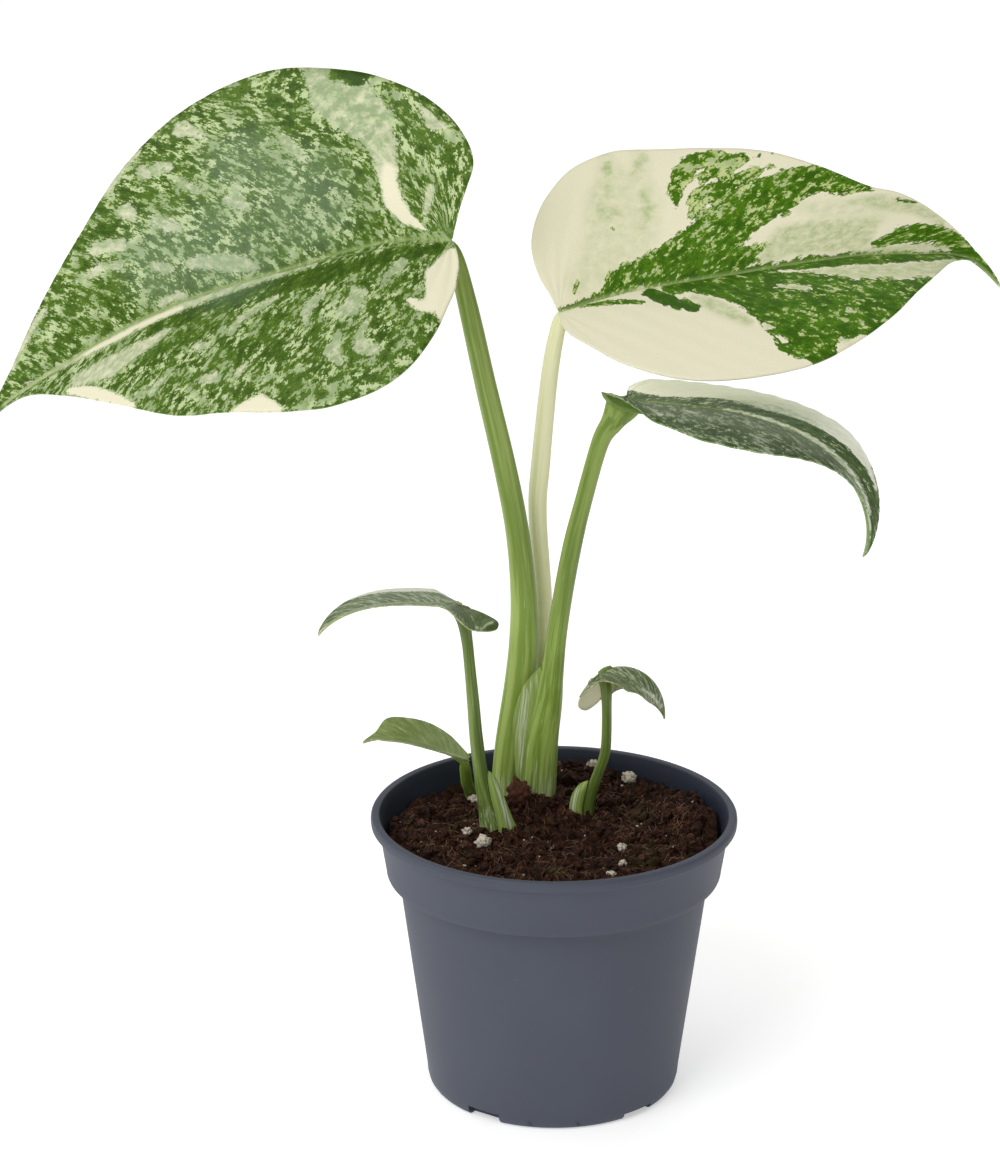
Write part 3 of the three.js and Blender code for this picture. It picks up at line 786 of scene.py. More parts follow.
RIGHT_STROKES = (
    Stroke(H, ((27, 51, 2), (27, 44, 4.6), (26, 34, 9), (23, 24, 9), (17, 15, 7), (8, 8, 4))),
    Stroke(H, ((38, 49, 2.4), (36, 41, 3.4), (33, 31, 7.5), (30, 22, 7), (22, 12, 4.6))),
    Stroke(S, ((27.4, 48.6, 0.8), (26.6, 46, 1.3))),
    Stroke(P, ((26.4, 42, 0.6), (24.6, 37, 0.9))),
    Stroke(P, ((21, 34, 1.2), (22, 30, 2.2), (26, 29, 0.9))),
    Stroke(P, ((38.6, 47.6, 1.4), (34, 43, 0.6))),
    Stroke(P, ((35, 35, 0.5), (36, 29, 1.7), (33, 23, 1.1))),
    Stroke(G, ((0, 0.6, 0.7), (8, 1.6, 1.1), (15, 2.6, 1.9), (21, 5.4, 4.6), (24, 7.4, 4.2),
               (31, 7, 5.4), (36, 8.2, 6), (43, 10, 7), (50, 12.5, 8), (56, 15, 8.6), (62, 19, 7.6),
               (68, 22, 8.2), (75, 24, 7.6), (82, 27, 5.4), (89, 28, 5), (96, 25.4, 4), (104, 23.8, 1.2)),
           0.3),
    Stroke(G, ((44, 2, 5), (56, 4, 4.4), (64, 5.6, 3), (69, 7, 1.4)), 0.26),
    Stroke(G, ((49.5, 23, 2), (51.5, 28, 3.2), (57, 29, 4), (64, 31.5, 3), (72, 34, 1.8)), 0.5),
    Stroke(G, ((45, 28, 1.4), (46, 34, 2.8), (49.5, 38.5, 3.6), (53, 42, 3.8), (59, 42.5, 3),
               (63, 43.6, 1.2)), 0.46),
    Stroke(G, ((55, 35, 1.8), (61, 37.8, 3.8), (69, 40, 2.4)), 0.52),
    Stroke(G, ((64.5, 41.5, 0.8), (69, 41, 0.5)), 0.2),
    Stroke(G, ((72.5, 39.8, 0.5), (78, 40, 0.5)), 0.2),
    Stroke(G, ((70, 33, 1), (77, 35, 0.6)), 0.45),
    Stroke(G, ((80, 32.5, 1), (89, 32, 1.4)), 0.4),
    Stroke(G, ((22.6, 24.6, 0.2), (23.2, 23.4, 0.35)), 0.5),
    Stroke(G, ((5.5, 5, 0.4), (7.5, 8.5, 0.5)), 0.4),
    Stroke(P, ((68, 4, 2), (76, 8, 4.6), (88, 8, 5.4), (98, 8, 5), (104, 12, 2))),
    Stroke(P, ((96, 17.6, 1.4), (106, 18.4, 2.6), (116, 17.4, 2), (124, 14.5, 1.2))),
    Stroke(H, ((84, 18, 2.4), (94, 16.5, 3), (106, 14, 2))),
    Stroke(G, ((38, -1, 5), (60, -1.6, 4), (72, -1, 2.4), (80, -1.9, 3.6), (92, -2.4, 4), (108, -2.6, 4),
               (120, -0.6, 3.2), (130, 4, 2.6), (138, 6.4, 2)), 0.16),
    Stroke(G, ((103, 3.6, 0.9), (109, 5.6, 2), (113, 7.4, 3), (119, 8.8, 3.6), (126, 9.6, 3.4),
               (132, 8.6, 3.2), (138, 6.4, 2.4), (146, 3, 1)), 0.22),
    Stroke(P, ((96, 1.6, 0.5), (108, 2.4, 0.8), (118, 4.4, 0.8), (127, 6.4, 0.6))),
    Stroke(G, ((111.5, 19.6, 0.4), (116.5, 19.4, 0.5)), 0.1),
    Stroke(G, ((7, -0.6, 0.8), (15, -2.4, 1.5), (20, -4, 1.6), (25, -6.6, 1.4)), 0.25),
    Stroke(G, ((29, -2, 3), (32, -7, 2.8), (36, -11.5, 3), (40, -15.6, 2.4)), 0.03),
    Stroke(G, ((43, -2, 5), (50, -6, 5.6), (56, -11, 6.2), (62, -19, 7), (68, -29, 9.4), (71, -37, 10.6),
               (74, -45, 6)), 0.14),
    Stroke(G, ((66, -10, 7), (80, -16, 8.6), (92, -22, 7.6), (104, -23, 8), (112, -20, 5), (118, -16, 3)),
           0.2),
    Stroke(G, ((80, -30, 13), (92, -30, 12), (104, -27, 8)), 0.22),
    Stroke(P, ((41.5, -9.4, 0.8), (45, -14, 2.3), (49.6, -20.6, 2.4), (54.6, -27.6, 1.6))),
    Stroke(P, ((79, -6.6, 0.6), (86, -8.4, 1.6), (93, -10.6, 3.2), (104, -11.6, 4), (115, -10.6, 3.8),
               (124, -6.4, 3.2), (131, 0, 1.4))),
    Stroke(S, ((69, -12.5, 0.7), (73, -14, 1.2), (76.6, -16.2, 1.2))),
    Stroke(C, ((62.4, -36, 0.9), (64, -39, 1.1))),
    Stroke(S, ((60.6, -31.4, 1.1), (61.6, -32, 0.7))),
    Stroke(S, ((87, -30.4, 0.9), (90.4, -31, 0.7))),
    Stroke(S, ((82, -42.6, 0.7), (84, -43, 0.6))),
)

LOWER_STROKES = (
    Stroke(C, ((-3, 18, 9), (8, 22, 15.5), (18, 26, 15), (30, 28, 13), (42, 28, 11), (54, 26, 9),
               (66, 24, 7), (76, 18, 4)), 0.0),
    Stroke(H, ((30, 17, 4), (40, 19, 7), (52, 18, 7), (62, 17, 5), (74, 16, 4), (84, 12, 2.4))),
    Stroke(P, ((36, 14, 2.4), (46, 15, 4), (56, 14, 3.4))),
    Stroke(G, ((30, 6.5, 2), (44, 8.5, 3), (58, 9.5, 4.4), (72, 9.5, 4.6), (82, 8.5, 4.2), (92, 5, 3.2),
               (99, 2, 1.6)), 0.14),
    Stroke(G, ((0, 2, 4), (12, 1, 3), (24, 0, 3), (34, 0, 3)), 0.2),
    Stroke(P, ((30, 2.8, 0.4), (45, 3.2, 0.8), (60, 3.6, 0.9), (75, 3.4, 0.9), (90, 2.4, 0.6))),
    Stroke(P, ((9, -10, 0.6), (14, -14, 1))),
    Stroke(P, ((20, -7, 0.8), (24, -9.5, 1))),
    Stroke(S, ((44, -22, 0.5), (50, -25, 0.6))),
    Stroke(P, ((76, -7, 1.6), (84, -4, 1.4), (94, -2, 1))),
)


def leaf_blades() -> list[LeafBlade]:
    """Lists the six leaves with their sizes and patterns.

    Returns:
        The leaves.
    """
    return [
        LeafBlade(
            "left_leaf", "marbled_leaf", start=(-33.2, 8, 284.3), heading=172, rise=-10.5, roll=-56,
            droop=41, late=1.94, fold=(25, 25), curl=(25, 25), hang=3.6, length=168,
            left=((-2, 4), (-3, 10), (-2.5, 18), (0.5, 27), (5, 37), (13, 47), (24, 53), (40, 55.8),
                  (58, 54), (76, 49.5), (98, 43.3), (120, 28.3), (138, 12.6), (152, 0.6)),
            right=((-2, 4), (-4.5, 10), (-7.5, 16), (-10.4, 23), (-9, 31), (-3.4, 40.6), (6.8, 49.8),
                   (23.6, 58.4), (48, 63.8), (72, 58.9), (92, 48), (111, 33.2), (130, 20.8), (150, 10.5)),
            ground=G, fleck=0.41, strokes=LEFT_STROKES,
            sway=((0, 0), (10, -2.4), (20, -3.2), (35, -2.2), (50, -0.7), (65, 0), (128, 0), (138, -0.6),
                  (148, -2), (158, -3.8), (168, -5.4)),
            # Painted sheen on the right half, where the waxy face reflects the light.
            painted_sheen=((72, -10, 26), (45, -20, 24), (90, -14, 20), (60, -36, 16)),
            vein_lean=(0.55, 0.64), vein_sweep=(1.0, 0),
        ),
        LeafBlade(
            "right_leaf", "marbled_leaf", start=(1.6, 20, 258.4), heading=8, rise=10.5, roll=36,
            droop=52, late=4.2, fold=(24, 24), curl=(30, 30), hang=4.6, length=148,
            left=((-2, 6), (-4, 14), (-3.8, 24), (0, 33.6), (6, 41.8), (16, 49.9), (30, 53.2), (45, 50),
                  (60, 46.5), (76, 41.4), (90, 33.2), (103, 24.7), (113, 22), (125, 15.8), (137, 9)),
            right=((-1, 6), (0, 14), (5, 23), (13, 34), (27, 44.5), (45, 50), (68, 50.6), (86, 44.6),
                   (102, 34), (113, 22), (121, 12), (129, 0.4), (137, -5)),
            ground=C, fleck=0.15, strokes=RIGHT_STROKES,
            sway=((0, 0), (10, 1.5), (22, 2.4), (40, 1.5), (60, 0.2), (85, 0), (105, 0.8), (118, 2),
                  (128, 4.6), (136, 6.4), (148, 2.6)),
            quilt=0.06,
        ),
        LeafBlade(
            "lower_leaf", "marbled_leaf", start=(22.8, 0.3, 234.7), heading=-16.5, rise=-0.5, roll=-4,
            droop=110, late=2.52, fold=(7.9, -1.7), curl=(14.6, 20), length=104.4, twist=-18.4,
            tip_fold=(32.9, 0.3), lobe_fold=(0, 35),
            left=((-2, 6), (-3.2, 14), (-1, 23), (5, 30.5), (16, 35.2), (29, 36.2), (43, 33.4),
                  (56, 30.4), (67, 27.4), (77, 20.5), (87, 13.2), (96, 6.3)),
            right=((-6, 2.4), (-5.4, 7), (-1, 11), (7, 15), (17, 22.8), (30, 31.4), (42, 34.6), (52, 33.2),
                   (62, 25.2), (72, 15), (84, 6.4), (94, 2.6)),
            ground=G, fleck=0.33, strokes=LOWER_STROKES,
            sway=((0, 0), (15, 0.8), (32, 1.8), (60, 1.9), (90, 1.2), (104, 0)),
            # Painted sheen along the right half by the midrib; the left half is painted brighter as painted
            # light and the right half darker as painted shade.
            painted_sheen=((12, -6, 14), (28, -8, 16), (44, -9, 16), (60, -7, 14), (74, -3, 12)),
            painted_light_and_shade=(-0.3, 0.16), rows=160, columns=40,
        ),
        LeafBlade(
            "left_shoot_leaf", "young_leaf", start=(-32.2, -5, 168.6), heading=186, rise=5, roll=-2,
            droop=58, late=2.5, fold=(17, 1), curl=(2, 10), hang=8, lobe_fold=(-34, -20), length=47,
            left=((-5, 2), (-10, 4), (-14, 7), (-13, 11), (-7, 13), (4, 12), (17, 11), (30, 8), (40, 4)),
            right=((-2, 2), (-3, 5), (-3, 9), (0, 12), (6, 14), (14, 14), (24, 13), (34, 10), (41, 6)),
            ground=G, fleck=0.36, strokes=(
                Stroke(C, ((0, -12, 2), (8, -13, 3), (16, -13, 3.4), (24, -12.6, 2.6), (32, -11, 1.4))),
                Stroke(S, ((22, 2, 0.8), (32, 3, 1.2), (45, 1, 1))),
                Stroke(S, ((4, 2, 0.5), (14, 2.6, 0.8), (26, 6, 0.6))),
                Stroke(S, ((-8, 5, 0.7), (-4, 3, 0.7))),
                Stroke(G, ((-12, 9, 3), (-7, 7, 4), (-2, 5, 4)), 0.1),
            ),
            painted_sheen=((14, 0, 30),),
            rows=70, columns=18, thickness=0.45, rib_depth=0.7, quilt=0.06,
        ),
        LeafBlade(
            "low_shoot_leaf", "young_leaf", start=(-28.8, 22, 104.6), heading=178, rise=22, roll=-25,
            droop=46, late=2.6, fold=(40, 8), curl=(10, 10), length=36,
            left=((0, 2), (3, 4), (8, 6), (15, 8), (22, 8), (28, 7), (31, 3)),
            right=((0, 2), (3, 4), (8, 7), (15, 9), (22, 9), (28, 8), (31.5, 2.5)),
            ground=G, fleck=0.12, strokes=(
                Stroke(P, ((1, 1.5, 0.5), (6, 3, 0.9), (10, 4.5, 0.5))),
            ),
            painted_sheen=((4, 0, 20),),
            rows=60, columns=14, thickness=0.45, rib_depth=0.5, quilt=0.05,
        ),
        LeafBlade(
            "right_shoot_leaf", "young_leaf", start=(15.7, 8, 140.9), heading=17.3, rise=32.5, roll=7.6,
            droop=125.7, late=0.73, fold=(-43, -12), curl=(47, -6.7), length=35.1, twist=3.8,
            tip_fold=(24, -55.6), hang=10.7, lobe_fold=(12.5, 36),
            left=((-4, 3.6), (-10, 7.1), (-15, 11.3), (-14.5, 15.5), (-8, 17.3), (2, 16.7), (11, 15.5),
                  (19, 11.9), (27, 6)),
            right=((-3, 3.2), (-8, 5.4), (-11, 8.6), (-9, 11.8), (-2, 13.5), (7, 13.9), (15, 12.8),
                   (22, 9.2), (29, 4.3)),
            ground=G, fleck=0.3, strokes=(
                Stroke(C, ((-14, 14, 5), (-8, 12, 5), (0, 12, 4))),
                Stroke(S, ((12, -10.5, 0.6), (20, -7, 0.7), (30, -2.5, 0.5))),
                Stroke(S, ((12, 8, 0.5), (22, 4.5, 0.8), (29, 1.5, 0.6))),
            ),
            rows=70, columns=18, thickness=0.45, rib_depth=0.6, quilt=0.05,
        ),
    ]


@dataclass(frozen=True)
class StalkFinish(Finish):
    """Smooth leaf stalk skin: broad soft bands and fine streaks run along it, under a thin wax."""

    dark: str = "#748f35"
    light: str = "#9cb357"
    pale: str = "#bfcc9c"
    streak_share: float = 0.3
    rough: float = 0.42

    def paint(self, tree: NodeTree) -> Node:
        """Lays out bands and streaks along the stalk.

        Args:
            tree: the material's empty node tree.

        Returns:
            The shader.
        """
        skin = add_node(tree, "Attribute", {"attribute_name": "skin"}, {}).outputs["Vector"]
        paleness, shade = (
            add_node(tree, "Attribute", {"attribute_name": name}, {}).outputs["Fac"]
            for name in ("paleness", "shade"))
        # Scales are per mm across the stalk: bands about 2 mm wide and streaks of half a mm.
        bands, fine = (
            add_node(tree, "TexNoise", {"Scale": scale, "Detail": detail, "Roughness": rough},
                     {"Vector": skin})
            for scale, detail, rough in ((0.45, 2.0, 0.5), (1.9, 3.0, 0.6)))
        both = add_node(tree, "Math", {"operation": "MULTIPLY_ADD", 1: 0.4}, {0: fine, 2: bands})
        green = tint(tree, both, (0.56, 0.84), self.dark, self.light)
        raised = add_node(tree, "Math", {"operation": "ADD"}, {0: fine, 1: paleness})
        low = 0.94 - self.streak_share
        streaked = tint(tree, raised, (low, low + 0.2), green, self.pale)
        # Painted shade: the colour is darkened by the shade attribute, towards the stalk's top.
        kept = add_node(tree, "Math", {"operation": "SUBTRACT", 0: 1.0}, {1: shade})
        shaded = add_node(tree, "VectorMath", {"operation": "SCALE"}, {0: streaked, 3: kept})
        bump = add_node(tree, "Bump", {"Strength": 0.25, "Distance": 0.15 * MM}, {"Height": fine})
        return add_node(
            tree, "BsdfPrincipled",
            {"Roughness": self.rough, "IOR": 1.45, "Specular IOR Level": 0.35, "Subsurface Weight": 0.1,
             "Subsurface Radius": (1.0, 1.2, 0.4), "Subsurface Scale": 1.0 * MM},
            {"Base Color": shaded, "Normal": bump})


@dataclass
class LeafStalk:
    """One leaf stalk: a soft tube through route points of x, y, z, width and thickness in mm."""

    name: str
    slot: str
    route: tuple[tuple[float, float, float, float, float], ...]
    pale_foot: float = 0.0
    painted_shade_top: float = 0.28
    foot_height: float = 30.0
    sides: int = 28
    rings: int = 90
    ridges: int = 9
    ridge_depth: float = 0.012

    def build(self, skin: Material) -> Object:
        """Models the stalk and dresses it.

        Args:
            skin: its material.

        Returns:
            The finished piece.
        """
        deselect_all()
        bpy.ops.mesh.primitive_cylinder_add(vertices=self.sides, radius=1, depth=2, end_fill_type="NGON")
        stalk = bpy.context.active_object
        upright = [edge.index for edge in stalk.data.edges if self._is_upright(stalk, edge)]
        bpy.ops.object.mode_set(mode="EDIT")
        bpy.ops.mesh.select_mode(type="EDGE")
        bpy.ops.mesh.select_all(action="DESELECT")
        bpy.ops.object.mode_set(mode="OBJECT")
        for index in upright:
            stalk.data.edges[index].select = True
        bpy.ops.object.mode_set(mode="EDIT")
        bpy.ops.mesh.subdivide(number_cuts=self.rings)
        bpy.ops.object.mode_set(mode="OBJECT")
        tube = positions(stalk)
        run = (tube[:, 2] + 1) / 2
        angle = np.arctan2(tube[:, 1], tube[:, 0])
        place_points(stalk, MM * self.surface(run, angle))
        height, width = spline([row[2:4] for row in self.route], run).T
        around = width[:, None] / 2 * np.stack([np.cos(angle), np.sin(angle)], 1)
        paint_points(stalk, "skin", np.column_stack([around, height / SKIN_STRETCH]))
        foot = 1 - smoothstep(height - SOIL_TOP, 0, self.foot_height)
        paint_points(stalk, "paleness", self.pale_foot * foot)
        # Painted shade, darker towards the top of the stalk.
        paint_points(stalk, "shade", self.painted_shade_top * smoothstep(height, *PAINTED_SHADE_SPAN))
        stalk.data.materials.append(skin)
        bpy.ops.object.shade_smooth()
        return settle(stalk, f"{self.name}_skin", [self.name])

    def _is_upright(self, stalk: Object, edge: MeshEdge) -> bool:
        """Says whether an edge of the plain cylinder runs from end to end."""
        low, high = (stalk.data.vertices[index].co.z for index in edge.vertices)
        return abs(low - high) > 1

    def surface(self, run: np.ndarray, angle: np.ndarray) -> np.ndarray:
        """Gives points of the skin in mm.

        Args:
            run: 0 at the foot to 1 at the top.
            angle: round the stalk in radians, 0 towards +X and growing away from the front.

        Returns:
            One row for each point.
        """
        line = [row[:3] for row in self.route]
        girth = [row[3:] for row in self.route]
        centre = spline(line, run)
        ahead, behind = np.minimum(run + 1e-3, 1), np.maximum(run - 1e-3, 0)
        forward = spline(line, ahead) - spline(line, behind)
        forward /= np.linalg.norm(forward, axis=1)[:, None]
        side = np.array([1.0, 0, 0]) - forward * forward[:, :1]
        side /= np.linalg.norm(side, axis=1)[:, None]
        front = np.cross(side, forward)
        size = spline(girth, run) / 2
        ridged = 1 + self.ridge_depth * np.cos(self.ridges * angle + 0.6)
        across = (np.cos(angle) * size[:, 0] * ridged)[:, None]
        deep = (-np.sin(angle) * size[:, 1] * ridged)[:, None]
        return centre + side * across + front * deep


@dataclass
class LeafSheath:
    """A thin wing of a stalk, between two edges that are given as points in mm."""

    name: str
    outer: tuple[Point, ...]
    inner: tuple[Point, ...]
    bulge: float = 1.0
    thickness: float = 0.4
    pale_edge: float = 0.5
    rows: int = 60
    columns: int = 14

    # Where the pale line lies between the two edges, and how wide it is, as shares. Edges past
    # CREASE degrees stay sharp.
    PALE_PLACE = 0.72
    PALE_WIDTH = 0.24
    CREASE = 60

    def build(self, skin: Material) -> Object:
        """Models the wing between its two edges and dresses it.

        Args:
            skin: its material.

        Returns:
            The finished piece.
        """
        wing, length, width = new_sheet(self.rows, self.columns)
        run, over = (length + 1) / 2, (width + 1) / 2
        margin, root = spline(self.outer, run), spline(self.inner, run)
        points = root + (margin - root) * over[:, None]
        points[:, 1] -= self.bulge * np.sin(np.pi * over) * np.minimum(1, 4 * run)
        place_points(wing, MM * points)
        reach = over * np.linalg.norm(margin - root, axis=1)
        paint_points(wing, "skin", np.column_stack([reach, 0 * over, points[:, 2] / SKIN_STRETCH]))
        pale = self.pale_edge * np.exp(-((over - self.PALE_PLACE) / self.PALE_WIDTH) ** 2)
        paint_points(wing, "paleness", pale * np.sin(np.pi * run) ** 0.6)
        paint_points(wing, "shade", 0 * over)
        wing.data.materials.append(skin)
        thicken(wing, self.thickness, 0)
        face_outward()
        bpy.ops.object.shade_smooth_by_angle(angle=math.radians(self.CREASE))
        return settle(wing, self.name, [])


def leaf_sheaths() -> list[LeafSheath]:
    """Lists the wings that show at three stalks' feet, and the web under the lower leaf.

    Returns:
        The wings.
    """
    return [
        LeafSheath(
            "lower_leaf_sheath",
            outer=((-4.4, 8.6, 142), (-6.8, 10.2, 139.3), (-9.4, 12, 135.3), (-11.4, 13.2, 130.4),
                   (-12.9, 14.2, 125), (-13.5, 15.2, 118.8), (-13, 16.4, 111.9), (-12.6, 17.4, 104.4),
                   (-12, 18.2, 97.7), (-11.4, 19, 88)),
            inner=((-3.9, 9.4, 141.4), (-3, 10.6, 137.6), (-2.6, 11.2, 133.1), (-2.8, 12, 127.9),
                   (-3.4, 12.8, 122), (-4.2, 13.6, 115.3), (-4.6, 14.4, 108.5), (-5, 15.2, 102.2),
                   (-5.3, 15.8, 96.6), (-5.6, 16.2, 88)),
            bulge=0.7, pale_edge=0.26,
        ),
        LeafSheath(
            "left_shoot_sheath",
            outer=((-21.5, -3.2, 110.4), (-19.7, -3, 108.9), (-18, -3.4, 105.6), (-16.4, -4, 101.6),
                   (-14.9, -4.2, 97.6), (-13.5, -4.2, 93.9), (-12.3, -4, 90.9), (-11.6, -3.6, 86)),
            inner=((-21.8, -4, 109.7), (-21.5, -4.6, 106.8), (-20.9, -4.8, 103.4), (-20.2, -5, 100.1),
                   (-19.4, -5.1, 96.7), (-18.8, -5.1, 93.6), (-18.2, -5, 90.5), (-18, -4.8, 86)),
            bulge=0.9, pale_edge=0.34, rows=44, columns=12,
        ),
        LeafSheath(
            "right_shoot_sheath",
            outer=((11.4, 10.8, 101.4), (9, 11, 100.3), (7, 11, 98), (5.8, 11, 95.2),
                   (5.4, 11, 92.3), (5.4, 11, 90.2), (6, 11.4, 86)),
            inner=((11.2, 10, 100.9), (10.8, 9.9, 99.1), (10.2, 9.9, 97), (9.8, 10, 94.9),
                   (9.4, 10.2, 92.7), (9.4, 10.4, 90.6), (9.8, 10.8, 86)),
            bulge=0.8, pale_edge=0.3, rows=40, columns=12,
        ),
        LeafSheath(
            "lower_leaf_web",
            outer=((14.1, -2, 238.2), (17.6, -2.4, 237.2), (21.3, -2.8, 236.5), (26.4, -3.2, 235.6),
                   (32, -4.4, 234.6)),
            inner=((14.9, -2.4, 236.6), (16.8, -4.6, 234.6), (20, -5.2, 233), (25.4, -6, 232.2),
                   (32, -6.8, 231.8)),
            bulge=0.3, thickness=0.5, pale_edge=0.1, rows=30, columns=10,
        ),
    ]


def leaf_stalks() -> list[LeafStalk]:
    """Lists the six stalks with their routes.

    Returns:
        The stalks.
    """
    return [
        LeafStalk(
            "lower_leaf_stalk", "green_stalk",
            ((-5.1, 19, 72, 11.4, 9), (-5.1, 19, 91, 11.6, 8.8), (-4.7, 18, 101, 11.6, 8.6),
             (-3.8, 15, 115, 10.8, 8), (-1.8, 12.5, 128, 9, 7), (-0.8, 10.5, 138, 7.6, 6.4),
             (0.7, 8, 153, 6.5, 6), (2.9, 5, 170, 6.3, 6), (5.7, 2, 187, 6.1, 5.8),
             (8.8, 0.5, 201, 5.6, 5.4), (13.9, 0, 220.5, 5.7, 5.4), (17.6, -0.6, 227.5, 7.4, 5.6),
             (20.2, -1.6, 232, 10.6, 5), (21.8, -2, 235, 12, 3)),
            pale_foot=0.24, foot_height=40,
        ),
        LeafStalk(
            "left_leaf_stalk", "green_stalk",
            ((-15.5, 24, 72, 9.5, 8.5), (-15.5, 24, 94, 10, 8.5), (-14, 22, 110, 10.8, 8.2),
             (-11, 18, 134, 10.4, 8), (-9.9, 15.5, 150, 9.6, 8), (-10.2, 14, 167, 8.4, 7.4),
             (-12.2, 12, 188, 7.6, 7), (-16.4, 10, 211, 7.3, 6.8), (-22.4, 8.5, 238, 6.8, 6.4),
             (-28, 8.5, 264, 6.2, 5.8), (-32.6, 9.4, 281, 4.6, 4.4), (-38, 10.2, 282, 2.4, 2.2)),
            pale_foot=0.36, foot_height=24,
        ),
        LeafStalk(
            "right_leaf_stalk", "cream_stalk",
            ((-6.4, 29, 72, 5.5, 5.5), (-6.4, 29, 93, 5.5, 5.5), (-4.5, 25.5, 125, 5.6, 5.4),
             (-3.2, 22, 155, 5.6, 5.4), (-5.5, 20, 190, 6, 5.8), (-4.6, 20, 208, 6.2, 5.9),
             (-2.1, 20, 235, 5.6, 5.4), (0, 20.4, 249, 5.2, 5), (2.4, 21.4, 256.6, 4.4, 4.2),
             (8, 22.6, 258.4, 2.4, 2.2)),
            painted_shade_top=0.04,
        ),
        LeafStalk(
            "left_shoot_stalk", "green_stalk",
            ((-20.2, -2, 74, 8.4, 5), (-20, -2, 88, 8.8, 5), (-21.2, -2.2, 96, 7.2, 4.8),
             (-23.4, -3, 106, 5, 4.6), (-25.3, -4, 121, 4.4, 4.2), (-26.4, -4.5, 135, 4, 4),
             (-27.6, -5, 149, 3.6, 3.6), (-28.3, -5, 156, 3.7, 3.6), (-29.6, -5, 163, 4.2, 3.8),
             (-32.4, -5, 167, 3.6, 3.2), (-37, -5.4, 168.4, 1.6, 1.4)),
            pale_foot=0.2, sides=20, rings=60,
        ),
        LeafStalk(
            "low_shoot_stalk", "green_stalk",
            ((-27.4, 35, 74, 4, 4), (-27.4, 35, 86, 4.2, 4.2), (-28.8, 29, 93.5, 4, 4),
             (-29.3, 24.5, 100, 3.8, 3.8), (-30, 22, 103.6, 2.6, 2.4), (-33, 22, 105.4, 1.2, 1.2)),
            sides=18, rings=30,
        ),
        LeafStalk(
            "right_shoot_stalk", "green_stalk",
            ((11.2, 13, 74, 4.2, 4), (11.2, 13, 88, 4.4, 4), (12.2, 12, 95, 4, 3.8),
             (13.4, 11, 100, 3.7, 3.6), (15, 10, 105.4, 3.5, 3.4), (16.8, 8.4, 112, 3.4, 3.3),
             (17.2, 6.4, 120, 3.3, 3.3), (17.1, 4.8, 130, 3.3, 3.3), (16.8, 5.4, 136, 3.8, 3.5),
             (15.9, 7.4, 140, 3.4, 3), (18.6, 8.8, 142.2, 1.2, 1)),
            sides=18, rings=50,
        ),
    ]


@dataclass(frozen=True)
class PotFinish(Finish):
    """Recycled polypropylene, injection moulded: matte, with a fine moulded grain and faint scuffs. Its
    inside is painted darker, as painted shade.
    """

    body: str = "#4a4e5a"
    # The inside colour is painted shade: the wall's inside is painted darker than its outside.
    inside: str = "#2b3140"
    scuff: str = "#666a74"

    def paint(self, tree: NodeTree) -> Node:
        """Lays out the plastic's cloudiness, grain and scuffs, and the painted shade inside the pot.

        Args:
            tree: the material's empty node tree.

        Returns:
            The shader.
        """
        place = add_node(tree, "TexCoord", {}, {}).outputs["Object"]
        inner = add_node(tree, "Attribute", {"attribute_name": "inside"}, {}).outputs["Fac"]
        cloud = add_node(tree, "TexNoise", {"Scale": 1 / (30 * MM), "Detail": 3.0}, {"Vector": place})
        grain = add_node(tree, "TexNoise", {"Scale": 1 / (0.7 * MM), "Detail": 2.0}, {"Vector": place})
        turn = {"Scale": (1.0, 1.0, 6.0), "Rotation": (0.3, 0.2, 0.0)}
        thin = add_node(tree, "Mapping", turn, {"Vector": place})
        streaks = {"Scale": 1 / (7 * MM), "Detail": 4.0, "Roughness": 0.7}
        marks = add_node(tree, "TexNoise", streaks, {"Vector": thin})
        scuffed = tint(tree, marks, (0.66, 0.76), self.body, self.scuff, 0.35, "LINEAR")
        # Painted shade inside the pot.
        both = add_node(tree, "Mix", {"data_type": "RGBA"}, {0: inner, 6: scuffed, 7: self.inside})
        clouding, rough = (
            add_node(tree, "MapRange", {1: 0.3, 2: 0.7, 3: low, 4: high}, {0: cloud})
            for low, high in ((0.93, 1.07), (0.5, 0.62)))
        colour = add_node(tree, "VectorMath", {"operation": "SCALE"}, {0: both, 3: clouding})
        bump = add_node(tree, "Bump", {"Strength": 0.12, "Distance": 0.1 * MM}, {"Height": grain})
        return add_node(tree, "BsdfPrincipled", {"IOR": 1.49, "Specular IOR Level": 0.25},
                        {"Base Color": colour, "Roughness": rough, "Normal": bump})


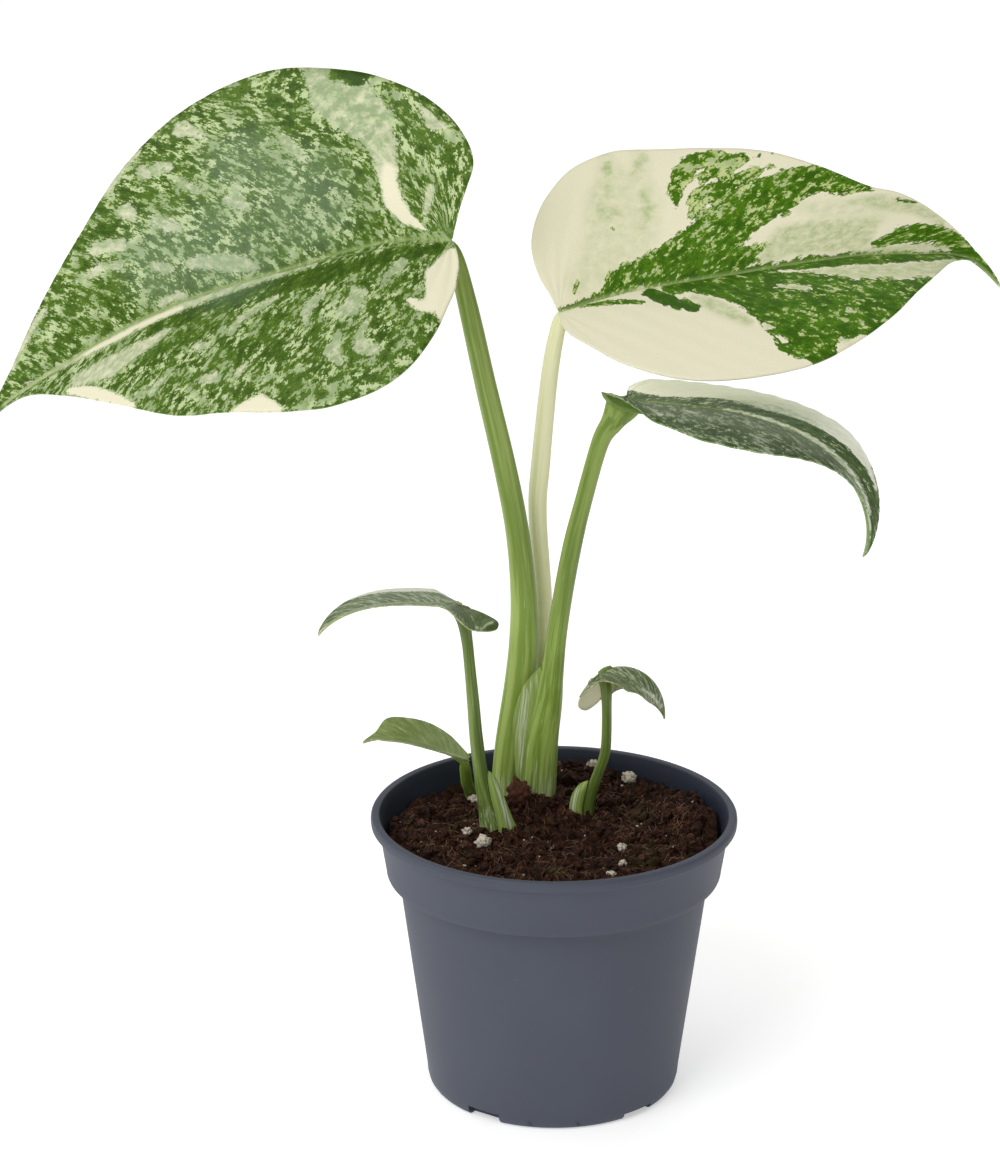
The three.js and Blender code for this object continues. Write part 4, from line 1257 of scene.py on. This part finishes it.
@dataclass
class NurseryPot:
    """The round pot, in mm.

    outside and inside hold radii and heights from the flat underside up to the lip and down
    again. wall_middle holds heights and the radii that part the wall's inside from its outside.
    """

    outside: tuple[Pair, ...] = (
        (39.4, 0), (40.6, 0.35), (41.4, 1.5), (41.9, 3.5), (42.1, 6), (46.4, 38.5),
        (50.6, 70.2), (50.8, 72.2), (51.2, 73.3), (51.9, 73.9), (53, 74.1), (54.2, 74.2), (54.75, 74.5),
        (55, 75.1), (55.2, 76.6), (57.4, 90.6), (57.7, 91.2), (58.3, 91.4), (59.4, 91.5), (60, 92),
        (60.1, 93.2), (60, 94.2), (59.6, 94.8), (58.9, 95),
    )
    inside: tuple[Pair, ...] = (
        (58, 95), (57.4, 94.8), (57, 94.2), (56, 91.3), (53.6, 76), (49.6, 74.9), (45, 38.5),
        (40.7, 6), (39.4, 1.6),
    )
    notches: tuple[Pair, ...] = ((-124, 3.6), (-48, 2.2), (24, 3.6), (96, 3.6), (168, 3.6))
    wall_middle: tuple[Pair, ...] = ((6, 41.4), (73, 50.2), (76, 54.4), (91.3, 56.6), (94.2, 57.4))
    notch_width: float = 12
    hole_count: int = 8
    hole_radius: float = 3.2
    hole_ring: float = 29
    sides: int = 200

    # The heights between which the wall's inside is painted darker as painted shade, and the blocks
    # that cut the notches: their length and how far beyond the foot's flat ring their middles are.
    # Edges past CREASE degrees stay sharp.
    PAINTED_SHADE_INSIDE_SPAN = (1, 94.5)
    BLOCK_LENGTH = 60
    BLOCK_PLACE = 28
    CREASE = 28

    def build(self, plastic: Material) -> Object:
        """Models the pot by drawing a ring of edges up the outside and down the inside.

        Args:
            plastic: its material.

        Returns:
            The finished piece.
        """
        deselect_all()
        profile = (*self.outside, *self.inside)
        radius, height = profile[0]
        bpy.ops.mesh.primitive_circle_add(vertices=self.sides, radius=radius * MM, fill_type="NGON",
                                          location=(0, 0, height * MM))
        pot = bpy.context.active_object
        bpy.ops.object.transform_apply(location=True, rotation=True, scale=True)
        bpy.ops.object.mode_set(mode="EDIT")
        bpy.ops.mesh.select_mode(type="EDGE")
        bpy.ops.mesh.select_all(action="SELECT")
        for next_radius, next_height in profile[1:]:
            rise = (0, 0, (next_height - height) * MM)
            bpy.ops.mesh.extrude_edges_move(TRANSFORM_OT_translate={"value": rise})
            share = next_radius / radius
            bpy.ops.transform.resize(value=(share, share, 1), center_override=(0, 0, 0))
            radius, height = next_radius, next_height
        bpy.ops.mesh.edge_face_add()
        face_outward()
        for cutter in self._cutters():
            self._cut(pot, cutter)
        points = positions(pot) / MM
        from_axis = np.hypot(points[:, 0], points[:, 1])
        wall = np.interp(points[:, 2], *zip(*self.wall_middle))
        low, high = self.PAINTED_SHADE_INSIDE_SPAN
        in_painted_shade = (from_axis < wall) & (points[:, 2] > low) & (points[:, 2] < high)
        # Painted shade: the wall's inside is marked to be painted darker.
        paint_points(pot, "inside", in_painted_shade.astype(float))
        pot.data.materials.append(plastic)
        make_active(pot)
        bpy.ops.object.shade_smooth_by_angle(angle=math.radians(self.CREASE))
        return settle(pot, "nursery_pot", ["pot"])

    def _cutters(self) -> list[Object]:
        """Makes the blocks and rods that open the notches and the drain holes.

        Returns:
            The cutters, in the order of cutting.
        """
        cutters = []
        for angle, height in self.notches:
            turn = math.radians(angle)
            middle = self.outside[0][0] + self.BLOCK_PLACE
            place = (middle * math.cos(turn) * MM, middle * math.sin(turn) * MM, 0)
            size = (self.BLOCK_LENGTH * MM, self.notch_width * MM, 2 * height * MM)
            bpy.ops.mesh.primitive_cube_add(size=1, location=place, rotation=(0, 0, turn), scale=size)
            cutters.append(bpy.context.active_object)
        for number in range(self.hole_count):
            turn = 2 * math.pi * number / self.hole_count
            place = (self.hole_ring * math.cos(turn) * MM, self.hole_ring * math.sin(turn) * MM, 0)
            bpy.ops.mesh.primitive_cylinder_add(vertices=40, radius=self.hole_radius * MM, depth=10 * MM,
                                                location=place)
            cutters.append(bpy.context.active_object)
        return cutters

    def _cut(self, pot: Object, cutter: Object) -> None:
        """Takes one cutter out of the pot.

        Args:
            pot: the pot.
            cutter: the cutter, which is used up.
        """
        cut = pot.modifiers.new("cut", "BOOLEAN")
        cut.operation = "DIFFERENCE"
        cut.object = cutter
        make_active(pot)
        bpy.ops.object.modifier_apply(modifier=cut.name)
        bpy.data.objects.remove(cutter)


@dataclass(frozen=True)
class SoilFinish(Finish):
    """Moist peat with composted bark: dark, dull, and speckled with paler fibre."""

    dark: str = "#150a05"
    brown: str = "#3c2013"
    tan: str = "#7a5135"
    moss: str = "#43401f"

    def paint(self, tree: NodeTree) -> Node:
        """Lays out crumbs in several browns, and a touch of green.

        Args:
            tree: the material's empty node tree.

        Returns:
            The shader.
        """
        place = add_node(tree, "TexCoord", {}, {}).outputs["Object"]
        crumbs = {"Scale": 1 / (1.6 * MM), "Detail": 5.0, "Roughness": 0.7}
        crumb = add_node(tree, "TexNoise", crumbs, {"Vector": place})
        patch = add_node(tree, "TexNoise", {"Scale": 1 / (11 * MM), "Detail": 3.0}, {"Vector": place})
        brown = tint(tree, crumb, (0.38, 0.62), self.dark, self.brown)
        flecked = tint(tree, crumb, (0.6, 0.74), brown, self.tan, 0.8, "LINEAR")
        colour = tint(tree, patch, (0.58, 0.72), flecked, self.moss, 0.55, "LINEAR")
        bump = add_node(tree, "Bump", {"Strength": 0.8, "Distance": 0.5 * MM}, {"Height": crumb})
        return add_node(tree, "BsdfPrincipled", {"Roughness": 0.85, "IOR": 1.4, "Specular IOR Level": 0.25},
                        {"Base Color": colour, "Normal": bump})


@dataclass(frozen=True)
class GrainFinish(Finish):
    """A dry, porous crumb of one colour with darker stains, such as perlite, bark or fibre."""

    light: str = "#d3cbbb"
    stain: str = "#836d57"
    stain_share: float = 0.6
    size: float = 1.2

    def paint(self, tree: NodeTree) -> Node:
        """Lays out stains and pores.

        Args:
            tree: the material's empty node tree.

        Returns:
            The shader.
        """
        place = add_node(tree, "TexCoord", {}, {}).outputs["Object"]
        pores = {"Scale": 1 / (self.size * MM), "Detail": 4.0, "Roughness": 0.65}
        stains = add_node(tree, "TexNoise", pores, {"Vector": place})
        low = 0.42 + 0.175 * (1 - self.stain_share)
        colour = tint(tree, stains, (low, low + 0.16), self.light, self.stain, 1.0, "LINEAR")
        bump = add_node(tree, "Bump", {"Strength": 0.6, "Distance": 0.3 * MM}, {"Height": stains})
        return add_node(tree, "BsdfPrincipled", {"Roughness": 0.8, "IOR": 1.45},
                        {"Base Color": colour, "Normal": bump})


@dataclass
class PottingMix:
    """The soil in the pot, with its loose crumbs, fibres and white grains, in mm.

    mounds holds places, heights and widths, and wall the radii and heights of the soil's side
    from its surface down to the pot's floor. The ranges of the fibres are least and most.
    """

    level: float = 88
    radius: float = 53.9
    mounds: tuple[tuple[float, float, float, float], ...] = (
        (-6, 18, 6.5, 13), (-18, -2, 2.6, 12), (10, 46, 3.5, 14), (46, 14, 4.5, 13), (-46, -4, 2.5, 12),
        (-34, 38, -3, 14), (0, -45, 1, 25),
    )
    wall: tuple[Pair, ...] = ((53, 80), (52.6, 76.6), (49, 75.3), (40.2, 6), (39, 1.9))
    cells: int = 190
    crumbs: int = 1700
    fibres: int = 1500
    specks: int = 90
    fibre_length: Pair = (1.2, 5.5)
    fibre_bend: Pair = (-0.9, 0.9)
    fibre_lift: Pair = (0, 1.1)
    fibre_radius: Pair = (0.07, 0.17)
    rng: np.random.Generator = field(default_factory=lambda: np.random.default_rng(SEED))

    # How rough a crumb is, as a share of its radius. Edges past CREASE degrees stay sharp.
    ROUGH = 0.8
    CREASE = 50

    def height(self, x: np.ndarray, y: np.ndarray) -> np.ndarray:
        """Gives the mean height of the soil surface.

        Args:
            x: places to the right in mm.
            y: places to the back in mm.

        Returns:
            Heights in mm.
        """
        level = np.full(np.shape(x), float(self.level))
        for mound_x, mound_y, rise, spread in self.mounds:
            away = np.hypot(x - mound_x, y - mound_y) / spread
            level = level + rise * np.exp(-away ** 2)
        return level

    def rough_height(self, x: float, y: float) -> float:
        """Gives the height of the crumbly surface at one place.

        Args:
            x: how far to the right it is in mm.
            y: how far to the back it is in mm.

        Returns:
            The height in mm.
        """
        # Lumps about 9 mm wide, crumbs of 3 mm and grains of 1.3 mm, each with its own height.
        lumps = 2.6 * noise.fractal(Vector((x / 9, y / 9, 0.3)), 1.0, 2.0, 3)
        crumbs = 1.6 * (0.45 - noise.voronoi(Vector((x / 3.1, y / 3.1, 1.7)))[0][0])
        grains = 0.7 * (0.4 - noise.voronoi(Vector((x / 1.3, y / 1.3, 4.1)))[0][0])
        return float(self.height(np.array(x), np.array(y))) + lumps + crumbs + grains

    def build_bed(self, peat: Material) -> Object:
        """Models the soil as one closed lump that fills the pot.

        Args:
            peat: its material.

        Returns:
            The finished piece.
        """
        bed, across, deep = new_sheet(self.cells, self.cells)
        x = self.radius * across * np.sqrt(1 - deep ** 2 / 2)
        y = self.radius * deep * np.sqrt(1 - across ** 2 / 2)
        z = np.array([self.rough_height(px, py) for px, py in zip(x, y)])
        place_points(bed, MM * np.column_stack([x, y, z]))
        bpy.ops.object.mode_set(mode="EDIT")
        bpy.ops.mesh.select_mode(type="EDGE")
        bpy.ops.mesh.select_all(action="DESELECT")
        bpy.ops.mesh.select_non_manifold()
        radius = self.radius
        for next_radius, level in self.wall:
            bpy.ops.mesh.extrude_edges_move()
            share = next_radius / radius
            bpy.ops.transform.resize(value=(share, share, 0), center_override=(0, 0, level * MM))
            radius = next_radius
        bpy.ops.mesh.edge_face_add()
        face_outward()
        bpy.ops.object.shade_smooth()
        bed.data.materials.append(peat)
        return settle(bed, "soil_bed", ["soil"])

    def _spot(self, edge: float) -> tuple[float, float]:
        """Picks a place on the surface, clear of the pot's wall.

        Args:
            edge: how far it stays from the wall in mm.

        Returns:
            How far to the right and to the back it is in mm.
        """
        radius = (self.radius - edge) * math.sqrt(self.rng.random())
        turn = 2 * math.pi * self.rng.random()
        return radius * math.cos(turn), radius * math.sin(turn)

    def _lump(self, rings: int, rough: float) -> tuple[np.ndarray, np.ndarray]:
        """Models one rough crumb.

        Args:
            rings: how finely it is cut.
            rough: how rough it is, as a share of its radius.

        Returns:
            Its points and its triangles.
        """
        deselect_all()
        bpy.ops.mesh.primitive_ico_sphere_add(subdivisions=rings, radius=1)
        lump = bpy.context.active_object
        points = positions(lump)
        points *= 1 + rough * np.array([noise.noise(Vector(point) * 1.7) for point in points])[:, None]
        faces = np.array([list(face.vertices) for face in lump.data.polygons])
        bpy.data.objects.remove(lump)
        return points, faces

    def _scatter(self, name: str, finish: Material, count: int, sizes: Pair,
                 rings: int, edge: float, sink: float) -> Object:
        """Strews copies of one crumb over the soil, as one piece.

        Args:
            name: the piece's name.
            finish: the crumbs' material.
            count: how many crumbs.
            sizes: the smallest and largest radius in mm.
            rings: how finely the crumb is cut.
            edge: how far they stay from the wall in mm.
            sink: how deep they lie, as a share of their radius.

        Returns:
            The finished piece.
        """
        points, faces = self._lump(rings, self.ROUGH)
        all_points, all_faces = [], []
        for number in range(count):
            x, y = self._spot(edge)
            radius = sizes[0] + (sizes[1] - sizes[0]) * self.rng.random() ** 3
            turn = self.rng.random(3) * 2 * math.pi
            shape = points * (radius * self.rng.uniform(0.35, 1.3, 3))
            shape = shape @ rotation(turn)
            z = self.rough_height(x, y) + radius * (0.55 - sink)
            all_points.append(shape + np.array([x, y, z]))
            all_faces.append(faces + number * len(points))
        return self._join(name, finish, np.concatenate(all_points), np.concatenate(all_faces))

    def _join(self, name: str, finish: Material, points: np.ndarray,
              faces: np.ndarray) -> Object:
        """Makes one piece of many copies.

        Args:
            name: the piece's name.
            finish: its material.
            points: all the copies' points in mm.
            faces: all their triangles.

        Returns:
            The finished piece.
        """
        mesh = bpy.data.meshes.new(name)
        mesh.from_pydata((MM * points).tolist(), [], faces.tolist())
        piece = bpy.data.objects.new(name, mesh)
        bpy.context.scene.collection.objects.link(piece)
        mesh.materials.append(finish)
        make_active(piece)
        bpy.ops.object.shade_smooth_by_angle(angle=math.radians(self.CREASE))
        return settle(piece, name, [])

    def build_fibres(self, finish: Material) -> Object:
        """Lays short curved root and peat fibres over the soil, as one piece.

        Args:
            finish: their material.

        Returns:
            The finished piece.
        """
        steps, sides = 4, 3
        corners = 2 * math.pi * np.arange(sides) / sides
        all_points, all_faces = [], []
        for number in range(self.fibres):
            x, y = self._spot(5)
            length = self.rng.uniform(*self.fibre_length)
            turn = self.rng.uniform(0, 2 * math.pi)
            bend = self.rng.uniform(*self.fibre_bend)
            lift = self.rng.uniform(*self.fibre_lift)
            thick = self.rng.uniform(*self.fibre_radius)
            rings = []
            for step in range(steps + 1):
                part = step / steps - 0.5
                way = turn + bend * part
                px = x + length * part * math.cos(way)
                py = y + length * part * math.sin(way)
                pz = self.rough_height(px, py) + 0.1 + lift * (1 - 4 * part * part)
                ring = np.column_stack([-math.sin(way) * np.cos(corners), math.cos(way) * np.cos(corners),
                                        np.sin(corners)])
                rings.append(np.array([px, py, pz]) + thick * ring)
            base = number * sides * (steps + 1)
            all_points.append(np.concatenate(rings))
            for step in range(steps):
                for side in range(sides):
                    low = base + step * sides
                    here, there = low + side, low + (side + 1) % sides
                    all_faces.append([here, there, there + sides])
                    all_faces.append([here, there + sides, here + sides])
            end = base + steps * sides
            all_faces.append([base + 2, base + 1, base])
            all_faces.append([end, end + 1, end + 2])
        return self._join("soil_fibres", finish, np.concatenate(all_points),
                          np.array(all_faces))

    def build_loose(self, peat: Material, bark: Material, white: Material) -> None:
        """Strews crumbs, bark bits and white grains over the soil.

        Args:
            peat: the crumbs' material.
            bark: the bark bits' material.
            white: the white grains' material.
        """
        self._scatter("soil_crumbs", peat, self.crumbs, (0.3, 2.4), 2, 1.5, 0.35)
        self._scatter("bark_bits", bark, self.crumbs // 3, (0.3, 1.3), 2, 3, 0.2)
        self._scatter("white_specks", white, self.specks, (0.25, 0.75), 2, 3, 0.1)


def rotation(turn: np.ndarray) -> np.ndarray:
    """Makes the matrix that turns rows of points.

    Args:
        turn: the angles about X, Y and Z in radians.

    Returns:
        The matrix, to multiply the rows by.
    """
    (cx, cy, cz), (sx, sy, sz) = np.cos(turn), np.sin(turn)
    about_x = np.array([[1, 0, 0], [0, cx, -sx], [0, sx, cx]])
    about_y = np.array([[cy, 0, sy], [0, 1, 0], [-sy, 0, cy]])
    about_z = np.array([[cz, -sz, 0], [sz, cz, 0], [0, 0, 1]])
    return about_x @ about_y @ about_z


@dataclass
class LooseGrain:
    """A white grain or a dry scale that stands on the soil in the place of its plain solid."""

    node: str
    slot: str
    rough: float = 0.35
    rings: int = 4
    waves: float = 2.2

    # How much of its solid's box it fills, and how far the noise moves on for each metre between
    # two grains, so that no two are alike.
    FILL = 0.98
    DRIFT = 900

    def build(self, finish: Material) -> Object:
        """Models the grain inside its solid's box and dresses it.

        Args:
            finish: its material.

        Returns:
            The finished piece.
        """
        low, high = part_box(self.node)
        centre, half = (low + high) / 2, (high - low) / 2
        deselect_all()
        bpy.ops.mesh.primitive_ico_sphere_add(subdivisions=self.rings, radius=1)
        grain = bpy.context.active_object
        points = positions(grain)
        offset = Vector(centre) * self.DRIFT
        swell = [noise.fractal(Vector(point) * self.waves + offset, 0.8, 2.0, 4) for point in points]
        points *= 1 + self.rough * (np.array(swell)[:, None] - 0.1)
        points = points * np.array(half) * self.FILL + np.array(centre)
        place_points(grain, points)
        bpy.ops.object.shade_smooth()
        grain.data.materials.append(finish)
        return settle(grain, f"{self.node}_grain", [self.node])


@dataclass
class Studio:
    """Camera, floor and soft lights, in metres.

    lights holds each light's name, place, size and watts. sky_left and sky_right are the white
    sky's brightness at the two sides. lens and sensor are the camera's, in mm.
    """

    camera_place: Point = (-0.0177, -1.1, 0.5455)
    camera_pitch: float = 18.68
    lens: float = 111.5
    sensor: float = 36
    sight: float = 30
    sky_left: float = 0.82
    sky_right: float = 0.28
    lights: tuple[tuple[str, Point, float, float], ...] = (
        ("key_light", (-0.9, -1.2, 1.5), 1.1, 15.0), ("back_light", (0.3, 1.4, 1.4), 1.2, 4.0))
    aim: Point = (0, 0, 0.17)
    floor_size: float = 16
    floor_level: float = -0.0002

    def build(self) -> None:
        """Sets up the studio."""
        scene = bpy.context.scene
        scene.view_settings.view_transform = "Standard"
        self._camera(scene)
        self._floor()
        world = bpy.data.worlds.new("studio_white")
        world.use_nodes = True
        sky = world.node_tree
        sky.nodes["Background"].inputs["Color"].default_value = (1, 1, 1, 1)
        place = add_node(sky, "TexCoord", {}, {}).outputs["Generated"]
        way = add_node(sky, "SeparateXYZ", {}, {0: place}).outputs[0]
        power = add_node(sky, "MapRange", {1: -1.0, 2: 1.0, 3: self.sky_left, 4: self.sky_right}, {0: way})
        sky.links.new(power.outputs[0], sky.nodes["Background"].inputs["Strength"])
        scene.world = world
        for light in self.lights:
            self._softbox(*light)

    def _camera(self, scene: Scene) -> None:
        """Adds the camera where the object is seen as it was photographed.

        Args:
            scene: the scene that it looks at.
        """
        data = bpy.data.cameras.new("camera")
        data.lens = self.lens
        data.sensor_width = self.sensor
        data.clip_end = self.sight
        camera = bpy.data.objects.new("camera", data)
        camera.location = self.camera_place
        camera.rotation_euler = (math.radians(90 - self.camera_pitch), 0, 0)
        scene.collection.objects.link(camera)
        scene.camera = camera

    def _floor(self) -> None:
        """Adds the pale floor, a hair under the pot so that their faces don't coincide."""
        deselect_all()
        bpy.ops.mesh.primitive_plane_add(size=self.floor_size, location=(0, 0, self.floor_level))
        floor = bpy.context.active_object
        floor.name = "floor"
        floor.data.materials.append(FloorFinish("pale_floor").make())

    def _softbox(self, name: str, place: Point, size: float, power: float) -> None:
        """Adds a square soft light aimed at the middle of the plant.

        Args:
            name: the light's name.
            place: where it is.
            size: its width.
            power: its power in watts.
        """
        data = bpy.data.lights.new(name, "AREA")
        data.shape = "SQUARE"
        data.size = size
        data.energy = power
        lamp = bpy.data.objects.new(name, data)
        lamp.location = place
        way = Vector(self.aim) - Vector(place)
        lamp.rotation_euler = way.to_track_quat("-Z", "Y").to_euler()
        bpy.context.scene.collection.objects.link(lamp)


@dataclass(frozen=True)
class FloorFinish(Finish):
    """Matte white studio card."""

    colour: str = "#fbfbfb"
    glow: float = 0.42

    def paint(self, tree: NodeTree) -> Node:
        """Lays out a plain, slightly luminous card."""
        return add_node(tree, "BsdfPrincipled",
                        {"Base Color": linear(self.colour), "Roughness": 0.9,
                         "Emission Color": (1, 1, 1, 1), "Emission Strength": self.glow}, {})


def main() -> None:
    """Builds every piece in order."""
    logging.basicConfig(level=logging.INFO, format="%(name)s: %(message)s")
    Studio().build()
    # A waxy cuticle over living tissue looks satin and clean-coloured above, and matte and paler
    # below. Young leaves have a greyer painted sheen.
    marbled = LeafFinish("waxy_marbled_leaf").make()
    fresh_marbled = LeafFinish("waxy_fresh_marbled_leaf", deep="#355b04", fresh="#507b0d", tinge="#93a94a",
                               fleck="#c6d092", sage="#b0be88").make()
    # The lower leaf's copy of the marbled finish: darker greens as painted shade under the right leaf, and a
    # whiter cream as painted light.
    painted_light_and_shade_marbled = LeafFinish("waxy_marbled_leaf_with_painted_light_and_shade", deep="#34481d", fresh="#4f6633",
                                tinge="#7c8d5c", fleck="#b4bd9a", sage="#a4ad94", cream="#f4f2e4",
                                painted_sheen="#b2bf9c").make()
    marbled_back = LeafFinish("matte_marbled_leaf_underside", deep="#6f8a55", fresh="#86a066",
                              tinge="#9db379", fleck="#bccaa0", sage="#c0caab", cream="#e6e2ca",
                              rib="#bccb95", rough=0.62).make()
    young = LeafFinish("waxy_young_leaf", deep="#46552c", fresh="#66764a", tinge="#808c66",
                       fleck="#a0a98a", sage="#b0b6a0", cream="#eeecdf", rib="#9ca57f",
                       painted_sheen="#a8ada0", cell=(0.3, 1.1)).make()
    tender = LeafFinish("waxy_tender_leaf", deep="#75854c", fresh="#8b9b5f", tinge="#95a46c",
                        fleck="#a0ad7c", sage="#a9b48a", cream="#d3d4ac", rib="#a2ae78",
                        painted_sheen="#9ca58c", cell=(0.3, 1.4)).make()
    young_back = LeafFinish("matte_young_leaf_underside", deep="#869160", fresh="#9ba474",
                            tinge="#aab286", fleck="#bcc39b", sage="#c4c6a6", cream="#f3eecb", rib="#bcc496",
                            rough=0.6, cell=(0.3, 1.6)).make()
    fronts = {"left_leaf": marbled, "right_leaf": fresh_marbled, "lower_leaf": painted_light_and_shade_marbled,
              "low_shoot_leaf": tender}
    for blade in leaf_blades():
        is_grown = blade.slot == "marbled_leaf"
        blade.build(fronts.get(blade.name, young), marbled_back if is_grown else young_back)
    # Stalk skin is the same wax over firmer, striped tissue, which lets a little light through.
    green_skin = StalkFinish("waxy_green_stalk").make()
    light_skin = StalkFinish("waxy_light_green_stalk", dark="#85a040", light="#acc168",
                             pale="#c2cf9a").make()
    cream_skin = StalkFinish("waxy_cream_stalk", dark="#dadaa8", light="#e9e7c0", pale="#f1edd4").make()
    shoot_skin = StalkFinish("waxy_shoot_stalk", dark="#536829", light="#7b8f48", pale="#aebc94").make()
    skins = {"right_leaf_stalk": cream_skin, "left_leaf_stalk": light_skin,
             "left_shoot_stalk": shoot_skin, "right_shoot_stalk": shoot_skin}
    for stalk in leaf_stalks():
        stalk.build(skins.get(stalk.name, green_skin))
    sheath_skin = StalkFinish("thin_pale_sheath", dark="#829848", light="#a0b462",
                              pale="#c6cfb4").make()
    web_skin = StalkFinish("waxy_leaf_base", dark="#5f7438", light="#71873f", pale="#8f9c70").make()
    for sheath in leaf_sheaths():
        sheath.build(web_skin if sheath.name == "lower_leaf_web" else sheath_skin)
    NurseryPot().build(PotFinish("moulded_polypropylene").make())
    peat = SoilFinish("moist_peat").make()
    # Bark is dull and dark red-brown, dry fibre paler, perlite chalky with brown stains from the
    # peat, and a dry leaf scale papery and red-brown.
    bark = GrainFinish("composted_bark", light="#4d2b1d", stain="#20100a", size=1.0).make()
    fibre = GrainFinish("dry_fibre", light="#6d4f38", stain="#2a190e", size=2.0).make()
    white = GrainFinish("expanded_perlite").make()
    husk = GrainFinish("dry_leaf_scale", light="#57301d", stain="#1c0f08", size=1.3).make()
    mix = PottingMix()
    mix.build_bed(peat)
    mix.build_loose(peat, bark, white)
    mix.build_fibres(fibre)
    for number in range(1, 9):
        LooseGrain(f"perlite_{number}", "perlite").build(white)
    LooseGrain("husk", "dry_husk", rough=0.5, waves=2.4).build(husk)


if __name__ == "__main__":
    main()
